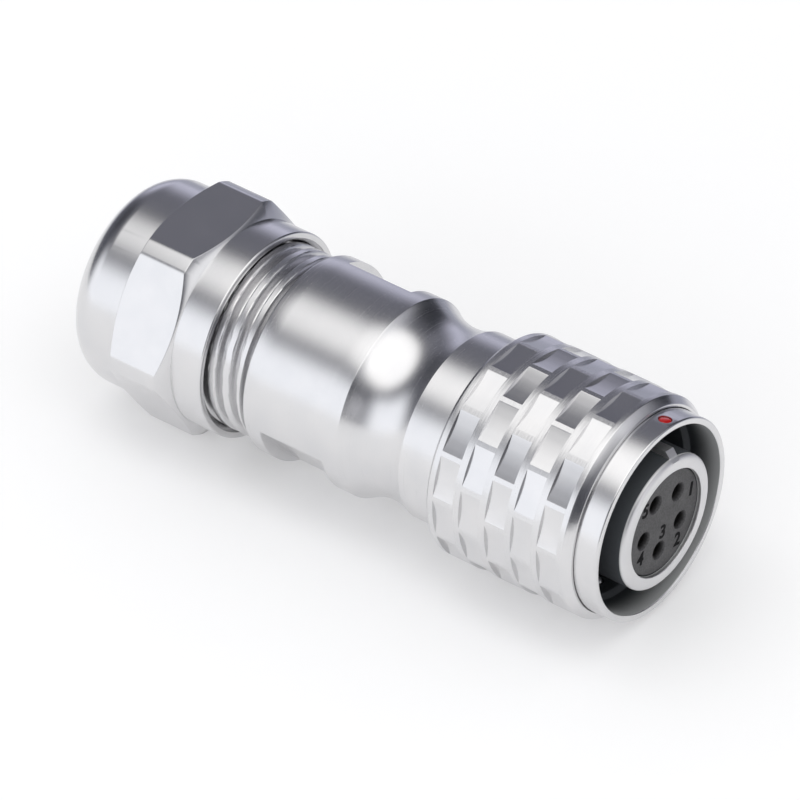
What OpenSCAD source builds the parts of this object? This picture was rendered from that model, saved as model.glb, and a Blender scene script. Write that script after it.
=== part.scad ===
// Circular sensor connector: a five-way push-pull cable plug with socket contacts.
// The axis lies along X and the mating end points to +X. The plane of the socket's opening
// is x = 0. The plug lies on one flat of its hexagon, with +Z up. Lengths are millimetres.

/* [Overall] */
// Length of the plug from the socket's opening to its rear end
plug_len = 52.29; // [49:0.01:64]

/* [Contacts and insulators] */
// Diameter of the hole that takes a mating pin
pin_hole_d = 1; // [0.8:0.05:1.3]
// Depth of that hole
pin_hole_depth = 5; // [3:0.1:5.5]
// Wall of a contact round that hole
contact_wall = 0.35; // [0.25:0.05:0.5]
// Diameter of the circle that the contacts stand on
contact_circle_d = 5.14; // [4.8:0.02:6.5]
// Height of the collar that holds a contact between the insulators
contact_collar = 0.3; // [0.2:0.05:0.4]
// Length of that collar
contact_collar_len = 1; // [0.6:0.1:1.6]
// Depth of a contact's front end below the insulator's face
contact_recess = 1.15; // [0.8:0.05:1.8]
// Bore of a solder cup
cup_bore_d = 1.1; // [0.8:0.05:1.3]
// Wall of a solder cup
cup_wall = 0.25; // [0.15:0.05:0.35]
// Distance from the insulator's tail to a solder cup
cup_stand = 0.5; // [0.3:0.05:1]
// Length of a solder cup
cup_len = 3.5; // [2:0.1:4.5]
// Insulator outside the contacts' collars
insulator_edge = 0.83; // [0.5:0.01:1.5]
// Length of the front insulator
front_insulator_len = 7.45; // [6.2:0.05:8.6]
// Height of the front insulator's flange
insulator_flange = 0.45; // [0.3:0.05:0.6]
// Length of that flange
insulator_flange_len = 1; // [0.6:0.1:1.6]
// Step from the insulators down to the rear insulator's tail
tail_step = 0.35; // [0.2:0.05:0.6]
// How far the rear insulator's tail stands out behind the insert nut
tail_out = 0.6; // [0.2:0.1:2]
// Lead-in at the mouth of each contact hole
hole_lead_in = 0.21; // [0.05:0.01:0.4]

/* [Contact shell] */
// Wall of the tube round the insert
tube_wall = 1.15; // [0.9:0.05:1.6]
// How far the tube stands out past the opening
tube_out = 0.6; // [0:0.05:1.5]
// Depth of the insulator's face behind the tube's front end
face_recess = 0.35; // [0.1:0.05:1]
// Width of the key rib
key_w = 1.05; // [0.7:0.05:1.8]
// Height of the key rib above the tube
key_h = 0.5; // [0.3:0.05:0.9]
// Angle of the key from the top, turning towards -Y
key_turn = -13.6; // [-180:0.1:180]
// Height of the flange that holds the tube in the front shell
tube_flange = 0.55; // [0.35:0.05:0.9]
// Length of that flange
tube_flange_len = 2.95; // [2:0.05:4]
// Length of the ring nut behind the insert
insert_nut_len = 1.95; // [1.2:0.05:3]

/* [Front shell] */
// Room for the mating shell between the key rib and the socket's wall
socket_room = 1.35; // [1:0.05:2]
// Step from the socket's bore out to the wider mouth
mouth_step = 0.4; // [0.2:0.05:0.7]
// Depth of the wider mouth
mouth_depth = 2.9; // [1.5:0.1:3.4]
// Wall of the rim at the mouth
rim_wall = 0.6; // [0.5:0.05:1]
// Length of the front ring that shows in front of the sleeve
ring_show = 2; // [1.2:0.1:3.5]
// Distance from the last latch ball's edge to the socket's floor
floor_run = 1.3; // [1.1:0.1:2.5]
// Distance from the socket's floor to the rear shoulder of the sleeve's guide
guide_run = 0.7; // [0.5:0.05:1]
// Thickness of the stop ring at the socket's floor
stop_len = 1.5; // [1:0.1:2]
// Length of the register that the front shell is fitted on
register_len = 0.6; // [0.4:0.05:0.8]
// Height of that register above the socket's bore
register_h = 0.4; // [0.3:0.05:0.45]
// Wall of the neck inside the spring
neck_wall = 1.1; // [0.9:0.05:1.3]
// Wall of the spigot that the back shell is pushed on
spigot_wall = 0.6; // [0.4:0.05:0.8]
// Length of that spigot
spigot_len = 5.5; // [4:0.1:7]
// Diameter of the red index dot
dot_d = 1.15; // [0.6:0.05:1.6]
// Distance of the dot's centre behind the opening
dot_back = 0.98; // [0.9:0.02:1.2]
// Depth of the dot's recess
dot_depth = 0.25; // [0.15:0.05:0.35]

/* [Latch and release sleeve] */
// Diameter of a latch ball
ball_d = 1.2; // [1:0.05:1.5]
// How far a ball stands into the socket
ball_in = 0.35; // [0.25:0.01:0.45]
// Travel of the release sleeve
sleeve_travel = 2; // [1.5:0.1:3]
// Sleeve wall over the relief
sleeve_wall = 0.52; // [0.4:0.02:1]
// Length of the sleeve's front lip
lip_len = 0.45; // [0.3:0.05:0.8]
// Length of the relief behind the lip
relief_len = 0.45; // [0.3:0.05:1]
// Width of the sleeve's front face
sleeve_edge = 0.25; // [0.1:0.05:0.5]
// Length of the sleeve's front bevel
sleeve_bevel = 0.66; // [0.3:0.02:1]
// Chamfer at the sleeve's rear end
sleeve_rear_chamfer = 0.3; // [0.1:0.05:0.5]
// How far the sleeve reaches over the back shell's band
sleeve_overlap = 2.25; // [1.5:0.05:4]
// Thickness of the rib that the spring pushes on
rib_len = 0.75; // [0.5:0.05:1.2]
// Room for the spring between the neck and the sleeve
spring_room = 0.57; // [0.5:0.01:0.7]
// Length of the spring at rest
spring_len = 5; // [4.6:0.1:8]
// Wire diameter of the spring
spring_wire = 0.4; // [0.3:0.02:0.42]
// Number of turns of the spring
spring_turns = 6; // [4:0.5:6.5]

/* [Grip] */
// Number of columns of flats along the sleeve
grip_columns = 5; // [3:1:7]
// Number of flats round the sleeve
grip_flats = 15; // [12:1:24]
// Depth of a flat at its middle
grip_depth = 0.165; // [0.08:0.005:0.25]
// Plain land between two columns
grip_land = 0.61; // [0.3:0.01:1]
// Plain land in front of the first column
grip_front = 1.13; // [0.9:0.01:2]
// Plain land behind the last column
grip_rear = 0.78; // [0.6:0.01:2]

/* [Back shell] */
// Band that shows behind the sleeve when it is pulled right back
band_show = 1.6; // [0.5:0.1:4]
// Depth of the waist below the band
waist_depth = 0.514; // [0.3:0.002:0.8]
// Radius of the waist's hollow
waist_round = 5.8; // [3:0.1:12]
// Wall at the waist
waist_wall = 1.456; // [1.1:0.002:2]
// Height of the barrel above the waist
barrel_rise = 1.034; // [0.6:0.002:2]
// Depth of the two wrench flats
flat_depth = 0.98; // [0.4:0.02:1.1]
// Share of the barrel's length that the wrench flats take
flat_share = 0.667; // [0.4:0.001:0.9]
// Angle of the first wrench flat from the top, turning towards -Y
flat_turn = 127.7; // [0:0.1:180]
// Section diameter of the seal between the shells
body_seal_d = 0.68; // [0.5:0.02:0.9]

/* [Gland] */
// Step from the barrel down to the thread's crest
thread_step = 0.59; // [0.3:0.01:0.9]
// Pitch of the gland thread
thread_pitch = 1.41; // [1:0.01:1.6]
// Depth of the gland thread
thread_depth = 0.75; // [0.5:0.05:0.9]
// Length of the relief groove at the shoulder
groove_len = 0.5; // [0.3:0.05:1]
// Wall under the thread
gland_wall = 0.85; // [0.6:0.05:1.1]
// Depth of the seal's seat behind the shoulder
seat_depth = 1.65; // [1.2:0.05:2.2]
// Width of the seal's seat
seat_w = 1.3; // [0.8:0.05:1.8]
// Length of the throat in front of the seat
throat_len = 1.5; // [1:0.1:3]
// Thread that shows between the shoulder and the nut
nut_gap = 4.05; // [3:0.05:5]
// Turns that the nut can still be tightened
tight_turns = 1.5; // [0.5:0.25:1.75]
// Diameter of the cable that the gland takes
cable_d = 6.5; // [4:0.1:7.5]
// Length of the collet's front spigot
collet_spigot_len = 2.9; // [2.6:0.05:3.6]
// Length of the collet's flange
collet_flange_len = 1; // [0.6:0.05:1.6]
// Step from the collet's flange down to its fingers
finger_step = 0.4; // [0.2:0.05:0.8]
// Length of the collet's fingers
finger_len = 4.7; // [3.5:0.1:4.8]
// Thickness of a finger at its tip
finger_tip = 1; // [0.6:0.05:1.4]
// Width of the slots between the fingers
slot_w = 0.8; // [0.4:0.05:1.4]

/* [Gland nut] */
// Wall of the nut's collar
collar_wall = 0.87; // [0.6:0.01:1.4]
// Length of the collar
collar_len = 2.93; // [1.5:0.01:4]
// Height of the hexagon's flats above the collar
hex_step = 0.2; // [0.05:0.01:0.6]
// Length of the hexagon with its chamfers
hex_len = 5.81; // [4:0.01:8]
// Length of one of the hexagon's chamfers
hex_chamfer = 0.71; // [0.3:0.01:1.2]
// How much is turned off the hexagon's corners
corner_trim = 0.367; // [0.1:0.001:0.6]
// Step from the hexagon's flats down to the domed end
dome_step = 0.24; // [0.05:0.01:0.6]
// Plain length of the domed end
dome_len = 2.56; // [1.5:0.01:4]
// Radius of the dome's edge
dome_round = 2.6; // [1.5:0.1:3.2]
// Distance from the nut's inner floor to the back of the hexagon
nut_floor = 0.74; // [0.3:0.02:1.2]
// How far the rim of the cable's hole laps over the fingers' tips
hole_lap = 0.25; // [0.1:0.05:0.5]
// Chamfer at the nut's mouth
nut_mouth_chamfer = 0.35; // [0.15:0.05:0.6]

/* [Clearances] */
// Radial gap of a sliding or turning fit
run_gap = 0.06; // [0.03:0.01:0.1]
// Radial gap where a piece passes over another
slide_gap = 0.1; // [0.06:0.01:0.14]
// Gap between pieces that are fitted together
fit_gap = 0.05; // [0.02:0.01:0.08]
// Radial gap round a pin at the mouth of its hole
entry_gap = 0.12; // [0.06:0.01:0.2]
// Radial gap round a latch ball in its hole
ball_gap = 0.08; // [0.04:0.01:0.12]
// Radial gap between the collet and the cable
cable_gap = 0.35; // [0.2:0.05:0.6]
// Small broken edge on turned pieces
edge_break = 0.15; // [0.05:0.01:0.22]

/* [Hidden] */
$fn = 96;

// Counts that the node names fix
contact_count = 5;
ball_count = 3;
hex_sides = 6;
contact_step = 360 / contact_count;
ball_step = 360 / ball_count;

// Overlong ends of cutting shapes
past = 1;

// Contacts and insulators, from the pin's hole outwards
pin_hole_r = pin_hole_d / 2;
contact_r = pin_hole_r + contact_wall;
collar_r = contact_r + contact_collar;
tail_r = cup_bore_d / 2 + cup_wall;
entry_r = pin_hole_r + entry_gap;
insulator_r = contact_circle_d / 2 + collar_r + insulator_edge;
insulator_flange_r = insulator_r + insulator_flange;
insulator_tail_r = insulator_r - tail_step;

// Contact shell and front shell, outwards
tube_bore_r = insulator_r + fit_gap;
tube_r = tube_bore_r + tube_wall;
key_r = tube_r + key_h;
tube_flange_r = tube_r + tube_flange;
insert_bore_r = tube_flange_r + slide_gap;
insert_nut_r = insert_bore_r - fit_gap;
insert_nut_bore_r = insulator_tail_r + slide_gap;
socket_r = key_r + socket_room;
mouth_r = socket_r + mouth_step;
ring_r = mouth_r + rim_wall;
guide_step = 0.18;
guide_r = ring_r - guide_step;
register_r = socket_r + register_h;
neck_r = insert_bore_r + neck_wall;
spigot_r = insert_bore_r + spigot_wall;
seal_side_gap = 0.175;
interface_seal_d = socket_room - 2 * seal_side_gap;

// Latch balls and the sleeve over them
ball_r = ball_d / 2;
ball_centre_r = socket_r + ball_r - ball_in;
ball_hole_r = ball_r + ball_gap;
ball_lip_r = sqrt(ball_r * ball_r - (ball_r - ball_in) * (ball_r - ball_in)) + ball_gap / 2;
ramp_slope = ball_in / sleeve_travel;
ramp_r = ball_centre_r + ball_r + run_gap;
lip_r = ring_r + slide_gap;
land_r = guide_r + run_gap;
ball_x = -(ring_show + lip_len + relief_len + slide_gap + sleeve_travel);
sleeve_front_x = -ring_show;
ramp_front_x = sleeve_front_x - lip_len - relief_len;
ramp_rear_x = ball_x - (ramp_r - land_r) / ramp_slope;
relief_r = ramp_r + ramp_slope * (ramp_front_x - ball_x);
sleeve_r = relief_r + sleeve_wall;

// Places along the front half
lip_overlap = 0.6;
ring_rear_x = sleeve_front_x - lip_overlap;
tube_front_x = tube_out;
face_x = tube_front_x - face_recess;
insulator_joint_x = face_x - front_insulator_len;
contact_front_x = face_x - contact_recess;
socket_floor_x = ball_x - ball_r - floor_run;
register_x = socket_floor_x + register_len;
stop_rear_x = socket_floor_x - stop_len;
tube_flange_x = stop_rear_x - fit_gap;
insert_rear_x = tube_flange_x - tube_flange_len;
insert_nut_x = insert_rear_x - fit_gap;
insert_nut_rear_x = insert_nut_x - insert_nut_len;
tail_rear_x = insert_nut_rear_x - tail_out;
cup_front_x = tail_rear_x - cup_stand;
cup_rear_x = cup_front_x - cup_len;
guide_rear_x = socket_floor_x - guide_run;
rib_front_x = guide_rear_x - fit_gap;
rib_rear_x = rib_front_x - rib_len;
rib_r = neck_r + run_gap;
spring_front_x = rib_rear_x - fit_gap;
spring_rear_x = spring_front_x - spring_len;
spring_r = neck_r + spring_room / 2;
coil_gap = 0.03;
closed_pitch = spring_wire + coil_gap;
open_pitch = (spring_len - spring_wire - 2 * closed_pitch) / (spring_turns - 2);
nose_x = spring_rear_x - fit_gap;
sleeve_rear_x = nose_x - sleeve_overlap;
sleeve_bore_r = neck_r + spring_room;
spigot_rear_x = nose_x - spigot_len;

// Grip flats
grip_span = sleeve_front_x - sleeve_rear_x - grip_front - grip_rear;
grip_pitch = (grip_span + grip_land) / grip_columns;
flat_len = grip_pitch - grip_land;
grip_r = sleeve_r - grip_depth;
grip_step = 360 / grip_flats;

// Places along the gland nut, from the rear end forwards
nut_rear_x = -plug_len;
dome_x = nut_rear_x + dome_round;
hex_rear_x = dome_x + dome_len;
hex_front_x = hex_rear_x + hex_len;
nut_front_x = hex_front_x + collar_len;

// Back shell
band_r = sleeve_bore_r - slide_gap;
nose_bore_r = spigot_r + fit_gap;
waist_r = band_r - waist_depth;
cavity_r = waist_r - waist_wall;
barrel_r = waist_r + barrel_rise;
band_rear_x = sleeve_rear_x - sleeve_travel - band_show;
waist_x = band_rear_x - sqrt(2 * waist_round * waist_depth - waist_depth * waist_depth);
barrel_x = waist_x - sqrt(2 * waist_round * barrel_rise - barrel_rise * barrel_rise);
shoulder_x = nut_front_x + nut_gap;
barrel_len = barrel_x - shoulder_x;
flat_inset = barrel_len * (1 - flat_share) / 2;
body_seal_x = spigot_rear_x - body_seal_d / 2 - fit_gap / 2;
nose_floor_x = spigot_rear_x - body_seal_d - fit_gap;

// Gland thread, seal, collet and nut
thread_r = barrel_r - thread_step;
root_r = thread_r - thread_depth;
gland_r = root_r - gland_wall;
throat_r = gland_r - seat_w;
seat_x = shoulder_x - seat_depth;
cavity_rear_x = seat_x + throat_len;
nut_floor_x = hex_rear_x + nut_floor;
collet_flange_rear_x = nut_floor_x + slide_gap;
collet_flange_x = collet_flange_rear_x + collet_flange_len;
collet_front_x = collet_flange_x + collet_spigot_len;
finger_tip_x = collet_flange_rear_x - finger_len;
thread_rear_x = collet_flange_x + tight_turns * thread_pitch + 2 * slide_gap;
seal_front_x = seat_x - fit_gap;
seal_rear_x = collet_front_x + slide_gap;
cable_r = cable_d / 2;
loose_gap = 1.5 * slide_gap;
collet_bore_r = cable_r + cable_gap;
collet_spigot_r = gland_r - loose_gap;
collet_flange_r = root_r - loose_gap;
finger_root_r = collet_flange_r - finger_step;
finger_tip_r = collet_bore_r + finger_tip;
nut_hole_r = finger_tip_r - hole_lap;
nut_bore_r = thread_r + run_gap;
nut_collar_r = nut_bore_r + collar_wall;
hex_r = nut_collar_r + hex_step;
hex_point_r = hex_r / cos(180 / hex_sides);
corner_r = hex_point_r - corner_trim;
dome_r = hex_r - dome_step;

nickel = "#c8c7c8";
insulator_grey = "#58575a";
gold = "#d8b25a";
rubber_black = "#1d1d1f";
dot_red = "#cf2f2a";
plastic_black = "#2b2b2d";

// A solid turned about the X axis from a closed outline of [x, radius] points
module turned(outline) {
    rotate([0, 90, 0])
        rotate_extrude()
            polygon([for (p = outline) [p[1], p[0]]]);
}

// A plain ring or tube about the X axis between two places
module tube(x_front, x_rear, r_out, r_in) {
    turned([[x_rear, r_in], [x_front, r_in], [x_front, r_out], [x_rear, r_out]]);
}

// A rod or bore parallel to the X axis between two places
module rod(x_front, x_rear, r) {
    translate([x_rear, 0, 0])
        rotate([0, 90, 0])
            cylinder(h = x_front - x_rear, r = r);
}

// A round seal about the X axis
module ring_seal(x, mean_r, section_d) {
    translate([x, 0, 0])
        rotate([0, 90, 0])
            rotate_extrude()
                translate([mean_r, 0])
                    circle(d = section_d, $fn = 32);
}

// Places its children at an angle about the X axis, from the top towards -Y
module at_angle(a) {
    rotate([a, 0, 0])
        children();
}

// Places its children at each contact's axis, with contact 1 next to the key
module at_contact(n) {
    at_angle(key_turn - contact_step * (n - 0.5))
        translate([0, 0, contact_circle_d / 2])
            children();
}

// Places its children at each latch ball's angle, evenly on both sides of the key
module at_ball(n) {
    at_angle(key_turn + ball_step * (n - 0.5))
        children();
}

// The hole in the shell's wall that holds a ball, with a lip that keeps it in
module ball_hole() {
    translate([ball_x, 0, 0])
        rotate_extrude()
            polygon([
                [0, socket_r - past],
                [ball_lip_r, socket_r - past],
                [ball_lip_r, socket_r],
                [ball_hole_r, ball_centre_r],
                [ball_hole_r, ring_r + past],
                [0, ring_r + past]
            ]);
}

// A bar along X whose top follows the key's height, for the key and its way
module key_bar(x_front, x_rear, top_r, w, chamfer) {
    rotate([90, 0, 0])
        linear_extrude(height = w, center = true)
            polygon([
                [x_rear, tube_bore_r + tube_wall / 2],
                [x_front, tube_bore_r + tube_wall / 2],
                [x_front, top_r - chamfer],
                [x_front - chamfer, top_r],
                [x_rear, top_r]
            ]);
}

module front_shell() {
    seam_x = socket_floor_x + fit_gap;
    outline = [
        [seam_x, register_r + fit_gap],
        [register_x + fit_gap, register_r + fit_gap],
        [register_x + fit_gap, socket_r],
        [-mouth_depth - mouth_step, socket_r],
        [-mouth_depth, mouth_r],
        [-edge_break, mouth_r],
        [0, mouth_r + edge_break],
        [0, ring_r - edge_break],
        [-edge_break, ring_r],
        [ring_rear_x, ring_r],
        [ring_rear_x, guide_r],
        [seam_x, guide_r]
    ];
    color(nickel)
        difference() {
            turned(outline);
            at_angle(key_turn)
                translate([-dot_back, 0, ring_r - dot_depth])
                    cylinder(h = dot_depth + past, d = dot_d);
            for (n = [1:ball_count])
                at_ball(n)
                    ball_hole();
        }
}

// The socket's floor, the neck inside the spring and the spigot, in one turned piece
module neck_body() {
    outline = [
        [spigot_rear_x, insert_bore_r],
        [stop_rear_x, insert_bore_r],
        [stop_rear_x, tube_r + slide_gap],
        [socket_floor_x, tube_r + slide_gap],
        [socket_floor_x, socket_r],
        [register_x, socket_r],
        [register_x, register_r],
        [socket_floor_x, register_r],
        [socket_floor_x, guide_r],
        [guide_rear_x, guide_r],
        [guide_rear_x, neck_r],
        [nose_x, neck_r],
        [nose_x, spigot_r],
        [spigot_rear_x, spigot_r]
    ];
    color(nickel)
        difference() {
            turned(outline);
            at_angle(key_turn)
                key_bar(socket_floor_x + past, stop_rear_x - past, key_r + slide_gap,
                    key_w + slide_gap, 0);
        }
}

module index_dot() {
    dot_sunk = 0.03;
    color(dot_red)
        intersection() {
            rod(0, -2 * dot_back, ring_r - dot_sunk);
            at_angle(key_turn)
                translate([-dot_back, 0, ring_r - dot_depth])
                    cylinder(h = dot_depth, d = dot_d - fit_gap / 2);
        }
}

module contact_shell() {
    lead_in_len = 0.2;
    lead_in_h = 0.6;
    key_back = lead_in_len / 2;
    step_x = insulator_joint_x + insulator_flange_len + fit_gap;
    outline = [
        [insert_rear_x, insulator_flange_r + fit_gap],
        [step_x, insulator_flange_r + fit_gap],
        [step_x, tube_bore_r],
        [tube_front_x - edge_break, tube_bore_r],
        [tube_front_x, tube_bore_r + edge_break],
        [tube_front_x, tube_r - lead_in_h],
        [tube_front_x - lead_in_len, tube_r],
        [tube_flange_x, tube_r],
        [tube_flange_x, tube_flange_r],
        [insert_rear_x, tube_flange_r]
    ];
    color(nickel)
        union() {
            turned(outline);
            at_angle(key_turn)
                key_bar(tube_front_x - key_back, tube_flange_x, key_r, key_w, key_h + lead_in_h / 2);
        }
}

module front_insulator() {
    pocket_x = contact_front_x + fit_gap;
    color(insulator_grey)
        difference() {
            union() {
                rod(face_x, insulator_joint_x, insulator_r);
                rod(insulator_joint_x + insulator_flange_len, insulator_joint_x, insulator_flange_r);
            }
            for (n = [1:contact_count])
                at_contact(n) {
                    rod(face_x + past, insulator_joint_x - past, entry_r);
                    rod(pocket_x, insulator_joint_x - past, contact_r + fit_gap);
                    turned([
                        [face_x - hole_lead_in, 0],
                        [face_x + past, 0],
                        [face_x + past, entry_r + hole_lead_in],
                        [face_x, entry_r + hole_lead_in],
                        [face_x - hole_lead_in, entry_r]
                    ]);
                }
        }
}

module rear_insulator() {
    color(insulator_grey)
        difference() {
            union() {
                rod(insulator_joint_x, insert_rear_x, insulator_flange_r);
                rod(insert_rear_x, tail_rear_x, insulator_tail_r);
            }
            for (n = [1:contact_count])
                at_contact(n) {
                    rod(insulator_joint_x + past, tail_rear_x - past, tail_r + fit_gap);
                    rod(insulator_joint_x + past, insulator_joint_x - contact_collar_len - fit_gap,
                        collar_r + fit_gap);
                }
        }
}

module socket_contact(n) {
    collar_rear_x = insulator_joint_x - contact_collar_len;
    cup_floor = 0.4;
    cup_side_open = 0.7;
    outline = [
        [contact_front_x - pin_hole_depth, 0],
        [contact_front_x - pin_hole_depth, pin_hole_r],
        [contact_front_x, pin_hole_r],
        [contact_front_x, contact_r],
        [insulator_joint_x, contact_r],
        [insulator_joint_x, collar_r],
        [collar_rear_x, collar_r],
        [collar_rear_x, tail_r],
        [cup_rear_x, tail_r],
        [cup_rear_x, cup_bore_d / 2],
        [cup_front_x - cup_floor, cup_bore_d / 2],
        [cup_front_x - cup_floor, 0]
    ];
    color(gold)
        at_contact(n)
            difference() {
                turned(outline);
                translate([cup_rear_x - past, -tail_r - past, 0])
                    cube([past + cup_side_open * cup_len, 2 * tail_r + 2 * past, tail_r + past]);
            }
}

module insert_nut() {
    slot_depth = 0.8;
    slot_width = 1.2;
    color(nickel)
        difference() {
            tube(insert_nut_x, insert_nut_rear_x, insert_nut_r, insert_nut_bore_r);
            translate([insert_nut_rear_x - past, -insert_nut_r - past, -slot_width / 2])
                cube([past + slot_depth, 2 * insert_nut_r + 2 * past, slot_width]);
        }
}

module interface_seal() {
    color(rubber_black)
        ring_seal(socket_floor_x + interface_seal_d / 2 + fit_gap / 2,
            key_r + socket_room / 2, interface_seal_d);
}

// What lies outside a ring of flats over one column of the grip
module grip_cut(column) {
    x_rear = sleeve_front_x - grip_front - grip_pitch * column - flat_len;
    turn = key_turn + (column % 2 == 0 ? grip_step / 2 : 0);
    apex_r = grip_r / cos(grip_step / 2);
    translate([x_rear, 0, 0])
        at_angle(turn)
            rotate([0, 90, 0])
                linear_extrude(height = flat_len)
                    difference() {
                        circle(r = sleeve_r + past);
                        polygon([
                            for (k = [0:grip_flats - 1])
                                [-apex_r * cos((k + 0.5) * grip_step), apex_r * sin((k + 0.5) * grip_step)]
                        ]);
                    }
}

module release_sleeve() {
    outline = [
        [sleeve_front_x, lip_r],
        [sleeve_front_x, lip_r + sleeve_edge],
        [sleeve_front_x - sleeve_bevel, sleeve_r],
        [sleeve_rear_x + sleeve_rear_chamfer, sleeve_r],
        [sleeve_rear_x, sleeve_r - sleeve_rear_chamfer],
        [sleeve_rear_x, sleeve_bore_r],
        [rib_rear_x, sleeve_bore_r],
        [rib_rear_x, rib_r],
        [rib_front_x, rib_r],
        [rib_front_x, land_r],
        [ramp_rear_x, land_r],
        [ramp_front_x, relief_r],
        [sleeve_front_x - lip_len, relief_r],
        [sleeve_front_x - lip_len, lip_r]
    ];
    color(nickel)
        difference() {
            turned(outline);
            for (column = [0:grip_columns - 1])
                grip_cut(column);
        }
}

// Distance along the spring after a number of turns, with one closed turn at each end
function spring_reach(turn) =
    turn < 1 ? closed_pitch * turn
    : turn < spring_turns - 1 ? closed_pitch + open_pitch * (turn - 1)
    : closed_pitch * (turn - spring_turns + 2) + open_pitch * (spring_turns - 2);

module release_spring() {
    sides = 8;
    steps_a_turn = 20;
    rings = floor(spring_turns * steps_a_turn);
    wire_r = spring_wire / 2;
    points = [
        for (i = [0:rings])
            for (k = [0:sides - 1])
                let (
                    a = 360 * i / steps_a_turn,
                    r = spring_r + wire_r * cos(360 * k / sides),
                    x = spring_front_x - wire_r - spring_reach(i / steps_a_turn)
                )
                    [x + wire_r * sin(360 * k / sides), r * sin(a), r * cos(a)]
    ];
    sides_of_wire = [
        for (i = [0:rings - 1])
            for (k = [0:sides - 1])
                let (next = (k + 1) % sides)
                    [i * sides + k, i * sides + next, (i + 1) * sides + next, (i + 1) * sides + k]
    ];
    first_end = [for (k = [0:sides - 1]) sides - 1 - k];
    last_end = [for (k = [0:sides - 1]) rings * sides + k];
    color(nickel)
        polyhedron(points, concat(sides_of_wire, [first_end], [last_end]));
}

module latch_ball(n) {
    color(nickel)
        at_ball(n)
            translate([ball_x, 0, ball_centre_r])
                sphere(r = ball_r);
}

module body_seal() {
    color(rubber_black)
        ring_seal(body_seal_x, nose_bore_r - body_seal_d / 2 - fit_gap / 2, body_seal_d);
}

// One ridge of the gland thread, in shares of its pitch and of its depth
thread_ridge = [[0, 0], [0.2, 0.8], [0.3, 1], [0.5, 1], [0.6, 0.8], [0.8, 0]];

// The outline's points along the gland thread, with one ridge for each pitch
function thread_points(x_front, x_rear) = [
    for (x = [x_front : -thread_pitch : x_rear + thread_pitch])
        for (p = thread_ridge)
            [x - p[0] * thread_pitch, root_r + p[1] * thread_depth]
];

// The outline's points along the hollow of the waist
function waist_points() =
    let (
        steps = 24,
        from = asin((band_rear_x - waist_x) / waist_round),
        to = asin((barrel_x - waist_x) / waist_round)
    )
        [
            for (i = [0:steps])
                let (a = from + (to - from) * i / steps)
                    [waist_x + waist_round * sin(a), waist_r + waist_round * (1 - cos(a))]
        ];

module back_shell() {
    groove_x = shoulder_x - groove_len;
    flat_x = shoulder_x + flat_inset;
    outline = concat(
        [[nose_x, nose_bore_r], [nose_x, band_r - edge_break], [nose_x - edge_break, band_r]],
        waist_points(),
        [
            [shoulder_x + edge_break, barrel_r],
            [shoulder_x, barrel_r - edge_break],
            [shoulder_x, root_r]
        ],
        thread_points(groove_x, thread_rear_x),
        [
            [thread_rear_x, root_r],
            [thread_rear_x, gland_r],
            [seat_x, gland_r],
            [seat_x, throat_r],
            [cavity_rear_x, throat_r],
            [cavity_rear_x, cavity_r],
            [nose_floor_x, cavity_r],
            [nose_floor_x, nose_bore_r]
        ]
    );
    color(nickel)
        difference() {
            turned(outline);
            for (side = [0, 180])
                at_angle(flat_turn + side)
                    translate([flat_x, -barrel_r, barrel_r - flat_depth])
                        cube([barrel_len - 2 * flat_inset, 2 * barrel_r, flat_depth + past]);
        }
}

module cable_seal() {
    color(rubber_black)
        tube(seal_front_x, seal_rear_x, gland_r - fit_gap, cable_r);
}

module clamp_collet() {
    finger_count = 6;
    slot_root = 0.2;
    slot_x = collet_flange_rear_x - slot_root;
    outline = [
        [finger_tip_x, collet_bore_r],
        [collet_front_x, collet_bore_r],
        [collet_front_x, collet_spigot_r],
        [collet_flange_x, collet_spigot_r],
        [collet_flange_x, collet_flange_r],
        [collet_flange_rear_x, collet_flange_r],
        [collet_flange_rear_x, finger_root_r],
        [finger_tip_x, finger_tip_r]
    ];
    color(plastic_black)
        difference() {
            turned(outline);
            for (k = [1:finger_count / 2])
                at_angle(360 / finger_count * k)
                    translate([finger_tip_x - past, -slot_w / 2, -collet_flange_r])
                        cube([slot_x - finger_tip_x + past, slot_w, 2 * collet_flange_r]);
        }
}

// The outline's points along the dome's rounded edge
function dome_points() =
    let (steps = 16)
        [
            for (i = [0:steps])
                let (a = 90 * i / steps)
                    [dome_x - dome_round * sin(a), dome_r - dome_round * (1 - cos(a))]
        ];

module gland_nut() {
    cone_slope = (finger_root_r - finger_tip_r) / finger_len;
    cone_rear_x = finger_tip_x - 2 * loose_gap;
    cone_front_r = finger_root_r + loose_gap;
    cone_rear_r = cone_front_r - cone_slope * (nut_floor_x - cone_rear_x);
    outline = concat(
        [
            [nut_front_x - nut_mouth_chamfer, nut_bore_r],
            [nut_front_x, nut_bore_r + nut_mouth_chamfer],
            [nut_front_x, nut_collar_r - edge_break],
            [nut_front_x - edge_break, nut_collar_r],
            [hex_front_x, nut_collar_r],
            [hex_front_x - hex_chamfer, corner_r],
            [hex_rear_x + hex_chamfer, corner_r],
            [hex_rear_x, dome_r]
        ],
        dome_points(),
        [
            [nut_rear_x, nut_hole_r + edge_break],
            [nut_rear_x + edge_break, nut_hole_r],
            [cone_rear_x, nut_hole_r],
            [cone_rear_x, cone_rear_r],
            [nut_floor_x, cone_front_r],
            [nut_floor_x, nut_bore_r]
        ]
    );
    color(nickel)
        intersection() {
            turned(outline);
            translate([nut_rear_x - past, 0, 0])
                rotate([180 / hex_sides, 0, 0])
                    rotate([0, 90, 0])
                        cylinder(h = nut_front_x - nut_rear_x + 2 * past, r = hex_point_r, $fn = hex_sides);
        }
}

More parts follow.
